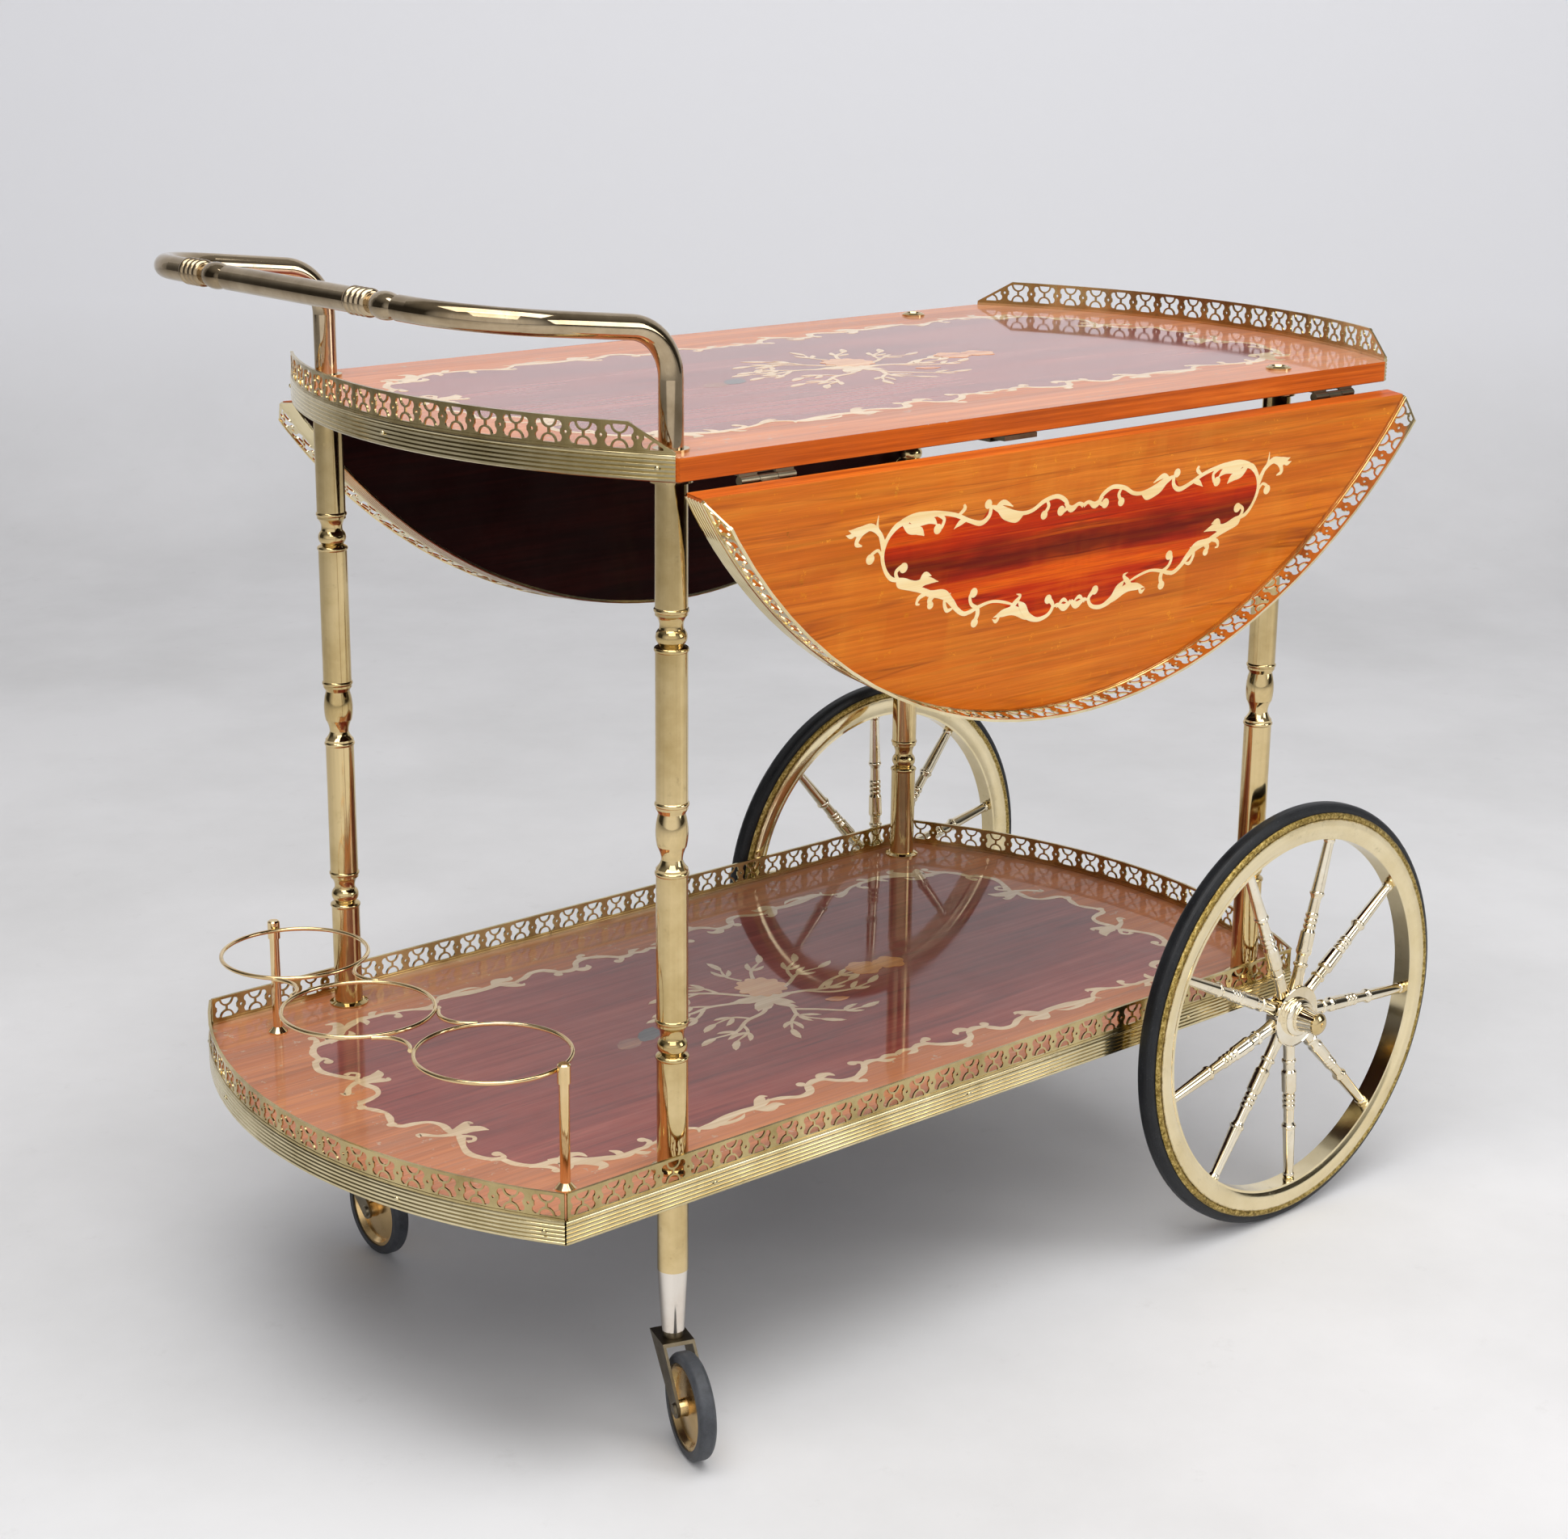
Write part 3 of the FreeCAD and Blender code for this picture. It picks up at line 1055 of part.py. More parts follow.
def caster(side_name, y, turn_size):
    """Swivel fork with its rivet, pressed disc and tyre, turned about the stem to its rest yaw."""
    turn = Rotation(Z_AXIS, val(turn_size))
    x = "0 - post_pitch_x / 2"
    made(f"caster_{side_name}_fork", caster_fork(), x, y, 0, turn)

    half_fork = "(caster_tyre / 2 + fork_side_gap + fork_wall)"
    head = f"({half_fork} + rivet_head)"
    rivet = [(0, f"0 - {head}"), ("rivet_head_dia / 2 - 1", f"0 - {head}"),
             ("rivet_head_dia / 2", f"0 - {half_fork}"), ("rivet_dia / 2", f"0 - {half_fork}"),
             ("rivet_dia / 2", half_fork), ("rivet_head_dia / 2", half_fork),
             ("rivet_head_dia / 2 - 1", head), (0, head)]
    rim = "(caster_dia / 2 - caster_rubber)"
    lip = "caster_tyre / 2 - 1"
    web = "disc_web / 2"
    hub_half = "caster_tyre / 2 + fork_side_gap - end_gap"
    bore = "rivet_dia / 2 + axle_gap"
    cone = f"{web} + disc_cone"
    disc = [(bore, f"0 - ({hub_half})"), ("disc_hub_dia / 2 - 1", f"0 - ({hub_half})"),
            ("disc_hub_dia / 2", f"0 - ({cone})"), (f"{rim} - 2 * disc_rim", f"0 - {web}"),
            (f"{rim} - disc_rim", f"0 - ({lip})"), (rim, f"0 - ({lip})"), (rim, lip),
            (f"{rim} - disc_rim", lip), (f"{rim} - 2 * disc_rim", web), ("disc_hub_dia / 2", cone),
            ("disc_hub_dia / 2 - 1", hub_half), (bore, hub_half)]
    edge = "caster_tyre / 2"
    crown = "caster_dia / 2"
    corner = "0.8 * caster_round"
    tyre = [(f"{rim} + fit_gap", f"0 - {edge}"), (f"{crown} - {corner}", f"0 - {edge}", "caster_round", 1),
            (crown, f"0 - {edge} + {corner}"), (crown, f"{edge} - {corner}", "caster_round", 1),
            (f"{crown} - {corner}", edge), (f"{rim} + fit_gap", edge)]
    spin = val(turn_size)
    lean = math.radians(spin)
    wheel_x = f"{x} + caster_trail * {math.cos(lean)}"
    wheel_y = f"{y} + caster_trail * {math.sin(lean)}"
    for name, profile in (("rivet", rivet), ("disc", disc), ("tyre", tyre)):
        label = f"caster_{side_name}_{name}"
        body = turned(label, profile, "XY_Plane")
        node(place(body, wheel_x, wheel_y, "caster_dia / 2", turn), label)


def caster_stems():
    """Stems fixed in the ferrules, with a thrust ring above the fork and a riveted head below it."""
    plate_top = f"{FORK_TOP} + swivel_gap"
    plate_bottom = f"{FORK_TOP} - fork_wall - swivel_gap"
    top = f"{FERRULE_BOTTOM} + stem_up"
    stem = [(0, f"{plate_bottom} - stem_head"), ("stem_head_dia / 2 - 1", f"{plate_bottom} - stem_head"),
            ("stem_head_dia / 2", plate_bottom), ("stem_pin_dia / 2 - fit_gap / 2", plate_bottom),
            ("stem_pin_dia / 2 - fit_gap / 2", plate_top), ("stem_head_dia / 2", plate_top),
            ("stem_head_dia / 2", FERRULE_BOTTOM), ("stem_pin_dia / 2", FERRULE_BOTTOM),
            ("stem_pin_dia / 2", top), (0, top)]
    group("caster_stems", at_posts(lambda x, y: place(turned("stem", stem), x, y), None))


# ---------------------------------------------------------------- nails

def nails():
    """Round-headed pins through the rails into the board edges."""
    head = val("nail_head") / 2
    rise = val("nail_height")
    shank = val("nail_shank") / 2
    length = val("nail_length")
    dome = Part.makeSphere(head, Vector(), X_AXIS, 0, 90, 360)
    squash = FreeCAD.Matrix()
    squash.scale(Vector(rise / head, 1, 1))
    dome = dome.transformGeometry(squash)
    pin = Part.makeCylinder(shank, length, Vector(-length, 0, 0), X_AXIS)
    nail = dome.fuse(pin).removeSplitter()
    stand = val("rail_thick")
    pieces = []
    outer = val("nail_outer_share")
    inner = val("nail_inner_share")
    ends = ((TOP_SHIFT, TOP_SIDE, "top_width", TOP_TOP, (-outer, 0, outer)),
            (LOW_SHIFT, LOW_SIDE, LOW_WIDTH, LOW_TOP, (-outer, -inner, inner, outer)))
    for shift, side, width, level, shares in ends:
        z = val(level) - val("board_thick") / 2 + val("rail_lip") / 2
        for sign, bow in ((-1, "bow_handle"), (1, "bow_wheel")):
            radius, half_turn = end_arc(width, bow, 0)
            centre = val(shift) + sign * (val(side) / 2 + val(bow) - radius)
            for share in shares:
                turn = half_turn * share + (180 if sign < 0 else 0)
                piece = nail.copy()
                piece.translate(Vector(radius + stand, 0, 0))
                piece.rotate(Vector(), Z_AXIS, turn)
                piece.translate(Vector(centre, 0, z))
                pieces.append(piece)
    z = val(LOW_TOP) - val("board_thick") / 2 + val("rail_lip") / 2
    along = val("nail_side_share")
    for side in (-1, 1):
        for share in (-along, 0, along):
            piece = nail.copy()
            piece.translate(Vector(stand, 0, 0))
            piece.rotate(Vector(), Z_AXIS, 90 * side)
            piece.translate(Vector(val(LOW_SHIFT) + share * val(LOW_SIDE), side * val(LOW_WIDTH) / 2, z))
            pieces.append(piece)
    made("rail_nails", Part.makeCompound(pieces))


def build():
    boards()
    edge_work()
    posts()
    handle()
    hinges()
    support_guides()
    bottle_holder()
    axle()
    caster_stems()
    nails()
    for name, far in (("near", False), ("far", True)):
        leaf(name, far)
        support_bar(name, far)
        wheel(name, far)
    caster("near", f"0 - {POST_Y}", "near_caster_turn")
    caster("far", POST_Y, "far_caster_turn")


def write_parts():
    """Check every object, then write one STEP file for each piece."""
    doc.recompute()
    for thing in doc.Objects:
        if "Invalid" in thing.State or "Error" in thing.State:
            raise RuntimeError(f"{thing.Name} ({thing.Label}) did not recompute: {thing.State}")
    for piece in NODES:
        shape = piece.Shape
        if shape.isNull() or not shape.isValid():
            raise RuntimeError(f"{piece.Label} has no valid shape")
    os.makedirs("parts", exist_ok=True)
    for piece in NODES:
        piece.Shape.exportStep(os.path.join("parts", piece.Label + ".step"))
    print(len(NODES), "pieces written")


build()
write_parts()
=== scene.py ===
"""Brass and marquetry tea trolley: materials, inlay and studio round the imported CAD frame."""
import bmesh
import bpy
import json
import math
from mathutils import Matrix, Vector, geometry

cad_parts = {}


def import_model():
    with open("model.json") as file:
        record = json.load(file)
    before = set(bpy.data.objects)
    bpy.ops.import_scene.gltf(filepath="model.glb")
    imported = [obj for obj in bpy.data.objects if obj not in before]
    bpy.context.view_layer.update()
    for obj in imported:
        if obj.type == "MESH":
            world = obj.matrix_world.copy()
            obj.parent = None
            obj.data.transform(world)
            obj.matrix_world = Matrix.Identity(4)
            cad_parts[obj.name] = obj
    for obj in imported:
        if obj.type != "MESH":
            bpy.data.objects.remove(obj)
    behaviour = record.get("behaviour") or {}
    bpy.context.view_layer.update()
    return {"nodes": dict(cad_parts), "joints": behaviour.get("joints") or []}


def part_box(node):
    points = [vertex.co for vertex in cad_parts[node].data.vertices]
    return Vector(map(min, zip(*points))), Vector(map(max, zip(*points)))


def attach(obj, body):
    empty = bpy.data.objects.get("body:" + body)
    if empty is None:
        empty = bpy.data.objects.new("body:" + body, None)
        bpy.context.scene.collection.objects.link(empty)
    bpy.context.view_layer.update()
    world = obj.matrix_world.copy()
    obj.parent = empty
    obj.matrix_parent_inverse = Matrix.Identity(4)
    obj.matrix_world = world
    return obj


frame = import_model()
NODES = frame["nodes"]
JOINTS = {joint["name"]: joint for joint in frame["joints"]}
LEAF_HINGE = JOINTS["leaf_near_hinge"]
SIDES = (("near", -1), ("far", 1))
MM = 0.001


# ---------------------------------------------------------------- node helpers

class Nodes:
    """A short way to write a node tree."""

    def __init__(self, tree):
        self.tree = tree

    def node(self, kind, **settings):
        made = self.tree.nodes.new("ShaderNode" + kind)
        for name, value in settings.items():
            setattr(made, name, value)
        return made

    def link(self, source, target):
        self.tree.links.new(source, target)

    def put(self, socket, value):
        """Set a socket to a number or colour, or link another node's output to it."""
        if isinstance(value, bpy.types.NodeSocket):
            self.link(value, socket)
        elif socket.type == "RGBA":
            socket.default_value = (*value, 1)
        else:
            socket.default_value = value

    def along(self, source, way):
        """How far each point lies in a direction."""
        dot = self.node("VectorMath", operation="DOT_PRODUCT")
        self.link(source, dot.inputs[0])
        dot.inputs[1].default_value = way
        return dot.outputs["Value"]

    def ramp(self, fac, stops):
        """Blend colours between places from 0 to 1."""
        ramp = self.node("ValToRGB")
        elements = ramp.color_ramp.elements
        while len(elements) < len(stops):
            elements.new(0.5)
        for element, (place, colour) in zip(elements, stops):
            element.position = place
            element.color = (*colour, 1)
        self.link(fac, ramp.inputs["Fac"])
        return ramp.outputs["Color"]

    def remap(self, value, to, of=(0, 1)):
        """Carry one range of values to another, and hold beyond its ends."""
        spread = self.node("MapRange")
        self.link(value, spread.inputs["Value"])
        spread.inputs["From Min"].default_value, spread.inputs["From Max"].default_value = of
        spread.inputs["To Min"].default_value, spread.inputs["To Max"].default_value = to
        return spread.outputs["Result"]

    def calc(self, operation, a, b=0.0):
        step = self.node("Math", operation=operation)
        self.put(step.inputs[0], a)
        self.put(step.inputs[1], b)
        return step.outputs[0]

    def mix(self, fac, a, b, blend="MIX"):
        mix = self.node("Mix", data_type="RGBA", blend_type=blend)
        self.put(mix.inputs["Factor"], fac)
        self.put(mix.inputs[6], a)
        self.put(mix.inputs[7], b)
        return mix.outputs[2]


class Graph(Nodes):
    """The node tree of a new material."""

    def __init__(self, name):
        self.material = bpy.data.materials.new(name)
        self.material.use_nodes = True
        super().__init__(self.material.node_tree)
        self.tree.nodes.clear()
        out = self.node("OutputMaterial")
        self.shader = self.node("BsdfPrincipled")
        self.link(self.shader.outputs["BSDF"], out.inputs["Surface"])

    def position(self):
        return self.node("TexCoord").outputs["Object"]

    def mirrored(self, middle):
        """Object coordinates with X folded at the middle, as in book-matched veneer."""
        apart = self.node("SeparateXYZ")
        self.link(self.position(), apart.inputs[0])
        joined = self.node("CombineXYZ")
        folded = self.calc("ABSOLUTE", self.calc("SUBTRACT", apart.outputs["X"], middle))
        self.link(folded, joined.inputs["X"])
        self.link(apart.outputs["Y"], joined.inputs["Y"])
        self.link(apart.outputs["Z"], joined.inputs["Z"])
        return joined.outputs["Vector"]

    def spread(self, source, scale, offset=(0, 0, 0)):
        """Coordinates scaled and moved, to draw a pattern out along an axis."""
        mapping = self.node("Mapping")
        mapping.inputs["Scale"].default_value = scale
        mapping.inputs["Location"].default_value = offset
        self.link(source, mapping.inputs["Vector"])
        return mapping.outputs["Vector"]

    def noise(self, vector, scale, detail, roughness, distortion=0):
        noise = self.node("TexNoise")
        self.link(vector, noise.inputs["Vector"])
        noise.inputs["Scale"].default_value = scale
        noise.inputs["Detail"].default_value = detail
        noise.inputs["Roughness"].default_value = roughness
        noise.inputs["Distortion"].default_value = distortion
        return noise.outputs["Fac"]

    def bump(self, height, strength, distance):
        bump = self.node("Bump")
        bump.inputs["Strength"].default_value = strength
        bump.inputs["Distance"].default_value = distance
        self.link(height, bump.inputs["Height"])
        self.link(bump.outputs["Normal"], self.shader.inputs["Normal"])

    def set(self, **values):
        """Set the shader's own sockets by name, with underscores for spaces."""
        for name, value in values.items():
            self.put(self.shader.inputs[name.replace("_", " ").title().replace("Ior", "IOR")], value)

    def source_of(self, socket):
        """What the shader's socket is linked to."""
        return self.shader.inputs[socket].links[0].from_socket


# ---------------------------------------------------------------- metals and rubber

def plating(name, colour, dull, rough, brushed=(1, 1, 1), bump=0.02):
    """Plated or polished metal: two clouded tones, with scratches and handling marks in its gloss."""
    g = Graph(name)
    where = g.position()
    clouds = g.noise(where, scale=14, detail=6, roughness=0.65)
    tarnish = g.noise(where, scale=75, detail=5, roughness=0.75)
    scratches = g.noise(g.spread(where, brushed), scale=260, detail=3, roughness=0.7)
    stained = tuple(c * 0.45 for c in dull)
    colours = g.ramp(clouds, [(0.36, dull), (0.6, colour)])
    colours = g.mix(g.remap(tarnish, (0, 0.55), of=(0.6, 0.78)), colours, stained)
    handled = g.remap(clouds, (rough * 1.2, rough * 0.7), of=(0.3, 0.7))
    gloss = g.calc("ADD", g.remap(scratches, (0, rough * 0.5)), handled)
    gloss = g.calc("ADD", gloss, g.remap(tarnish, (0, 0.25), of=(0.6, 0.8)))
    g.set(base_color=colours, metallic=1.0, roughness=gloss)
    g.bump(g.calc("ADD", scratches, clouds), bump, 0.3 * MM)
    return g


def metal(*tones, **look):
    return plating(*tones, **look).material


def radius_from(g, joint):
    """Distance from a wheel's axle line."""
    offset = g.node("VectorMath", operation="SUBTRACT")
    g.link(g.position(), offset.inputs[0])
    offset.inputs[1].default_value = JOINTS[joint]["pos_m"]
    length = g.node("VectorMath", operation="LENGTH")
    g.link(offset.outputs["Vector"], length.inputs[0])
    along = g.along(offset.outputs["Vector"], JOINTS[joint]["axis"])
    whole = g.calc("POWER", length.outputs["Value"], 2.0)
    return g.calc("SQRT", g.calc("SUBTRACT", whole, g.calc("MULTIPLY", along, along)))


def rim_metal(side):
    """Plated rim with a worn, rough gilded band on the bead beside the tyre."""
    g = plating(f"plated_rim_{side}", (0.93, 0.80, 0.52), (0.80, 0.66, 0.38), 0.10, bump=0.01)
    low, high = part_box(f"wheel_{side}_rim")
    outer = (high.x - low.x) / 2
    waver = g.remap(g.noise(g.position(), scale=190, detail=5, roughness=0.8), (-1.6 * MM, 1.6 * MM))
    ragged = g.calc("ADD", radius_from(g, f"wheel_{side}_spin"), waver)
    band = g.remap(ragged, (0, 1), of=(outer - 6.2 * MM, outer - 4.8 * MM))
    flakes = g.noise(g.position(), scale=420, detail=5, roughness=0.8)
    gilt = g.ramp(flakes, [(0.36, (0.10, 0.065, 0.015)), (0.5, (0.42, 0.29, 0.075)),
                           (0.66, (0.85, 0.68, 0.28))])
    duller = g.calc("MULTIPLY", band, 0.32)
    g.set(base_color=g.mix(band, g.source_of("Base Color"), gilt))
    g.set(roughness=g.calc("ADD", g.source_of("Roughness"), duller))
    g.bump(g.calc("MULTIPLY", flakes, band), 0.6, 1.2 * MM)
    return g.material


def rubber(name, colour, joint, grooves):
    """Black rubber with dust in fine moulded grooves round its tread."""
    g = Graph(name)
    where = g.position()
    dust = g.noise(where, scale=30, detail=7, roughness=0.75)
    fine = g.noise(where, scale=1100, detail=3, roughness=0.6)
    tread = g.calc("SINE", g.calc("MULTIPLY", radius_from(g, joint), grooves))
    dusty = tuple(c * 3.2 for c in colour)
    colours = g.ramp(dust, [(0.35, colour), (0.75, dusty)])
    colours = g.mix(g.remap(fine, (0, 0.5), of=(0.62, 0.74)), colours, (0.11, 0.12, 0.13))
    g.set(base_color=colours, roughness=g.remap(dust, (0.36, 0.55)), specular_ior_level=0.33)
    g.bump(g.calc("ADD", g.calc("MULTIPLY", tread, 0.5), fine), 0.22, 0.4 * MM)
    return g.material


# ---------------------------------------------------------------- woods

def grain(g, source, dark, middle, light, offset=(0, 0, 0), fine=1.0, streak=(0.05, 0.02, 0.01), streaks=0.0,
          pores=0.25, figure=0.0):
    """Colour of veneer with its grain along X. streaks are dark veins; figure is a shimmer across the grain."""

    def drawn_out(along, across):
        return g.spread(source, (along, across, across), offset)

    broad = g.noise(drawn_out(1.1, 9 * fine), scale=2.2, detail=3, roughness=0.55, distortion=1.2)
    lines = g.noise(drawn_out(2.5, 95 * fine), scale=2.0, detail=5, roughness=0.6, distortion=0.35)
    fibres = g.noise(drawn_out(22, 900), scale=1.6, detail=3, roughness=0.7)
    tone = g.calc("ADD", g.calc("MULTIPLY", broad, 0.55), g.calc("MULTIPLY", lines, 0.45))
    colour = g.ramp(tone, [(0.36, dark), (0.5, middle), (0.63, light)])
    if figure:
        bands = g.noise(drawn_out(26, 7), scale=1.3, detail=2, roughness=0.5, distortion=0.9)
        patches = g.noise(drawn_out(3, 9), scale=1.7, detail=2, roughness=0.5)
        shine = g.calc("MULTIPLY", g.remap(bands, (0, figure), of=(0.42, 0.62)),
                       g.remap(patches, (0, 1), of=(0.46, 0.62)))
        colour = g.mix(shine, colour, light)
    if streaks:
        veins = g.noise(drawn_out(0.8, 30 * fine), scale=2.0, detail=3, roughness=0.5, distortion=1.1)
        near = g.calc("ABSOLUTE", g.calc("SUBTRACT", veins, 0.5))
        gaps = g.noise(drawn_out(4, 25), scale=2.0, detail=3, roughness=0.6)
        broken = g.remap(gaps, (0.15, 1), of=(0.42, 0.58))
        colour = g.mix(g.calc("MULTIPLY", g.remap(near, (streaks, 0), of=(0.0, 0.030)), broken), colour, streak)
    return g.mix(g.remap(fibres, (pores, 0), of=(0.3, 0.6)), colour, streak)


HAZE_TONE, DUST_TONE = (0.62, 0.52, 0.48), (0.66, 0.58, 0.55)


def lacquer(g, colour, coat=1.0):
    """Clear glossy coat over a colour, with haze, dust and a slight orange peel."""
    where = g.position()
    haze = g.noise(where, scale=6, detail=6, roughness=0.7)
    dust = g.noise(where, scale=700, detail=4, roughness=0.8)
    peel = g.noise(where, scale=55, detail=3, roughness=0.5)
    film = g.calc("MULTIPLY", g.remap(haze, (0.02, 0.14), of=(0.35, 0.7)), coat)
    specks = g.calc("MULTIPLY", g.remap(dust, (0, 0.5), of=(0.66, 0.78)), coat)
    colour = g.mix(specks, g.mix(film, colour, HAZE_TONE), DUST_TONE)
    g.set(base_color=colour, roughness=0.42, specular_ior_level=0.04, coat_weight=coat, coat_ior=1.5,
          coat_roughness=g.remap(haze, (0.035, 0.135), of=(0.42, 0.75)))
    g.bump(g.calc("ADD", g.calc("MULTIPLY", peel, 0.8), haze), 0.05, 0.5 * MM)
    return g.material


def wood(name, *tones, coat=1.0, **look):
    g = Graph(name)
    return lacquer(g, grain(g, g.position(), *tones, **look), coat)


UNDER_TONES = ((0.010, 0.0008, 0.0006), (0.018, 0.0012, 0.0010), (0.034, 0.0030, 0.0018))
EDGE_TONES = ((0.40, 0.070, 0.004), (0.62, 0.120, 0.008), (0.80, 0.20, 0.018))
EDGE_COAT = 0.15
VENEER = 0.5 * MM


def board_skin(node, face_way, tones, bookmatch=None, coat=1.0, **look):
    """A board's show face, its dark underside and its orange edges, each in its own veneer."""
    g = Graph(f"{node}_veneer")
    way = Vector(face_way).normalized()
    reach = [way.dot(corner.co) for corner in NODES[node].data.vertices]
    low, high = min(reach), max(reach)
    place = g.along(g.position(), way)
    source = g.position() if bookmatch is None else g.mirrored(bookmatch)
    face = grain(g, source, *tones, **look)
    sides = grain(g, g.position(), *EDGE_TONES, offset=(0.2, 0.4, 0.9), fine=2.5, streak=(0.16, 0.03, 0.008))
    under = grain(g, g.position(), *UNDER_TONES, offset=(0.7, 0.1, 0.3), streak=(0.004, 0.001, 0.001))
    chips = g.noise(g.position(), scale=110, detail=5, roughness=0.8)
    chipped = g.calc("ADD", place, g.remap(chips, (-0.35 * MM, 0.35 * MM), of=(0.62, 0.70)))
    shown = g.remap(chipped, (0, 1), of=(high - VENEER, high - 0.1 * MM))
    hidden = g.remap(place, (1, 0), of=(low + 0.1 * MM, low + VENEER))
    return lacquer(g, g.mix(hidden, g.mix(shown, sides, face), under), g.remap(shown, (EDGE_COAT, coat)))


# ---------------------------------------------------------------- carried-over nodes

def assign(material, *names):
    for name in names:
        NODES[name].data.materials.clear()
        NODES[name].data.materials.append(material)


# Each metal's bright tone, its dull tone and its roughness.
BRASS = metal("polished_brass", (0.76, 0.59, 0.31), (0.56, 0.41, 0.18), 0.075, bump=0.012)
# The handle's brass is a darker copy of the polished brass: painted dark reflection, standing in for the dark
# room the handle mirrors.
HANDLE_BRASS = metal("handle_brass_painted_dark_reflection", (0.60, 0.48, 0.32), (0.36, 0.27, 0.16), 0.05, bump=0.012)
RAIL_BRASS = metal("rail_brass", (0.80, 0.69, 0.43), (0.58, 0.48, 0.26), 0.10, brushed=(0.2, 0.2, 1),
                   bump=0.006)
GALLERY_BRASS = metal("gallery_brass", (0.62, 0.50, 0.25), (0.36, 0.27, 0.11), 0.16)
WHEEL_PLATE = metal("pale_gold_plate", (0.95, 0.88, 0.72), (0.80, 0.68, 0.46), 0.055, bump=0.008)
RING_BRASS = metal("ring_wire_brass", (0.90, 0.70, 0.40), (0.76, 0.54, 0.26), 0.08, bump=0.008)
NICKEL = metal("nickel_ferrule", (0.86, 0.80, 0.72), (0.76, 0.66, 0.56), 0.12)
DARK_STEEL = metal("bronzed_steel", (0.26, 0.22, 0.15), (0.13, 0.10, 0.06), 0.28, bump=0.06)
DISC_BRASS = metal("disc_brass", (0.88, 0.62, 0.30), (0.62, 0.42, 0.17), 0.2, bump=0.05)
# The leaf galleries' brass is a paler copy of the gallery brass: painted highlight, for the light the leaf
# galleries catch.
LEAF_BRASS = metal("leaf_gallery_brass", (0.90, 0.78, 0.50), (0.66, 0.52, 0.26), 0.12)

# The first of these that is in a node's name gives its metal. Every other node is polished brass.
NAME_PARTS = {
    "post": BRASS, "leaf_near_gallery": LEAF_BRASS, "leaf_far_gallery": LEAF_BRASS, "gallery": GALLERY_BRASS,
    "rail_": RAIL_BRASS, "_rail": RAIL_BRASS, "fork": DARK_STEEL, "rivet": DARK_STEEL, "hinge": DARK_STEEL,
    "disc": DISC_BRASS, "spokes": WHEEL_PLATE, "hub": WHEEL_PLATE, "ferrules": NICKEL,
    "caster_stems": DARK_STEEL, "ring": RING_BRASS, "support_guides": DARK_STEEL, "support_bar": DARK_STEEL,
    "handle": HANDLE_BRASS,
}
for name in NODES:
    assign(next((skin for part, skin in NAME_PARTS.items() if part in name), BRASS), name)

HONEY = ((0.52, 0.33, 0.205), (0.61, 0.415, 0.275), (0.70, 0.50, 0.35))
HONEY_STREAK = (0.38, 0.17, 0.08)
AMBER = ((0.52, 0.125, 0.004), (0.74, 0.215, 0.010), (0.97, 0.40, 0.036))
ROSEWOOD = ((0.21, 0.030, 0.020), (0.32, 0.050, 0.032), (0.43, 0.090, 0.056))
TYRE_BLACK, CASTER_BLACK = (0.005, 0.0055, 0.0065), (0.030, 0.032, 0.036)
# Grooves come round every 2 pi / 5200 and 2 pi / 3000 of a metre.
TYRE_GROOVES, CASTER_GROOVES = 5200.0, 3000.0
LEAF_COAT = 0.07

# The leaves hang out of plumb by as much as they swing past a right angle to lie level.
LEAN = math.radians(LEAF_HINGE["range_deg"][1] - 90)


def leaf_ways(sign):
    """The way a leaf's show face looks at rest, and the way down the leaf from its hinge edge."""
    return (Vector((0, sign * math.cos(LEAN), -math.sin(LEAN))),
            Vector((0, -sign * math.sin(LEAN), -math.cos(LEAN))))


UP = Vector((0, 0, 1))
assign(board_skin("top_board", UP, HONEY, streak=HONEY_STREAK, offset=(0.1, 0, 0)), "top_board")
assign(board_skin("lower_board", UP, HONEY, streak=HONEY_STREAK, offset=(0.5, 0.3, 0), coat=0.75),
       "lower_board")
for side, sign in SIDES:
    assign(rim_metal(side), f"wheel_{side}_rim")
    assign(rubber(f"tyre_rubber_{side}", TYRE_BLACK, f"wheel_{side}_spin", TYRE_GROOVES), f"wheel_{side}_tyre")
    assign(rubber(f"caster_rubber_{side}", CASTER_BLACK, f"caster_{side}_spin", CASTER_GROOVES),
           f"caster_{side}_tyre")
    leaf_skin = board_skin(f"leaf_{side}_board", leaf_ways(sign)[0], AMBER, bookmatch=LEAF_HINGE["pos_m"][0],
                           coat=LEAF_COAT, fine=0.8, streak=(0.13, 0.036, 0.006), streaks=0.9, figure=0.6,
                           offset=(0.3, 0.2 * sign, 0.5))
    assign(leaf_skin, f"leaf_{side}_board")


# ---------------------------------------------------------------- inlay drawing

CREAM = wood("maple_inlay", (0.68, 0.46, 0.24), (0.80, 0.58, 0.33), (0.90, 0.70, 0.43), fine=2, pores=0.12,
             streak=(0.5, 0.3, 0.14))
LEAF_CREAM = wood("lime_inlay", (0.88, 0.62, 0.27), (0.95, 0.72, 0.36), (0.98, 0.82, 0.48), fine=2, pores=0.08,
                  streak=(0.6, 0.38, 0.16), coat=0.22)
PEACH = wood("peach_petals", (0.62, 0.26, 0.08), (0.85, 0.42, 0.15), (0.98, 0.60, 0.26), fine=3,
             streak=(0.42, 0.15, 0.05))
ORANGE = wood("orange_petals", (0.55, 0.16, 0.025), (0.78, 0.29, 0.05), (0.92, 0.44, 0.11), fine=3,
              streak=(0.22, 0.05, 0.01))
RUSSET = wood("russet_leaf", (0.20, 0.05, 0.012), (0.32, 0.09, 0.022), (0.44, 0.15, 0.04), fine=2)
SLATE = wood("smoked_leaf", (0.030, 0.030, 0.030), (0.055, 0.055, 0.052), (0.10, 0.095, 0.085), fine=2)
TOP_FIELD = wood("top_rosewood", *ROSEWOOD, fine=0.9, offset=(0.3, 0.7, 0.1), streak=(0.04, 0.008, 0.006),
                 streaks=0.35)
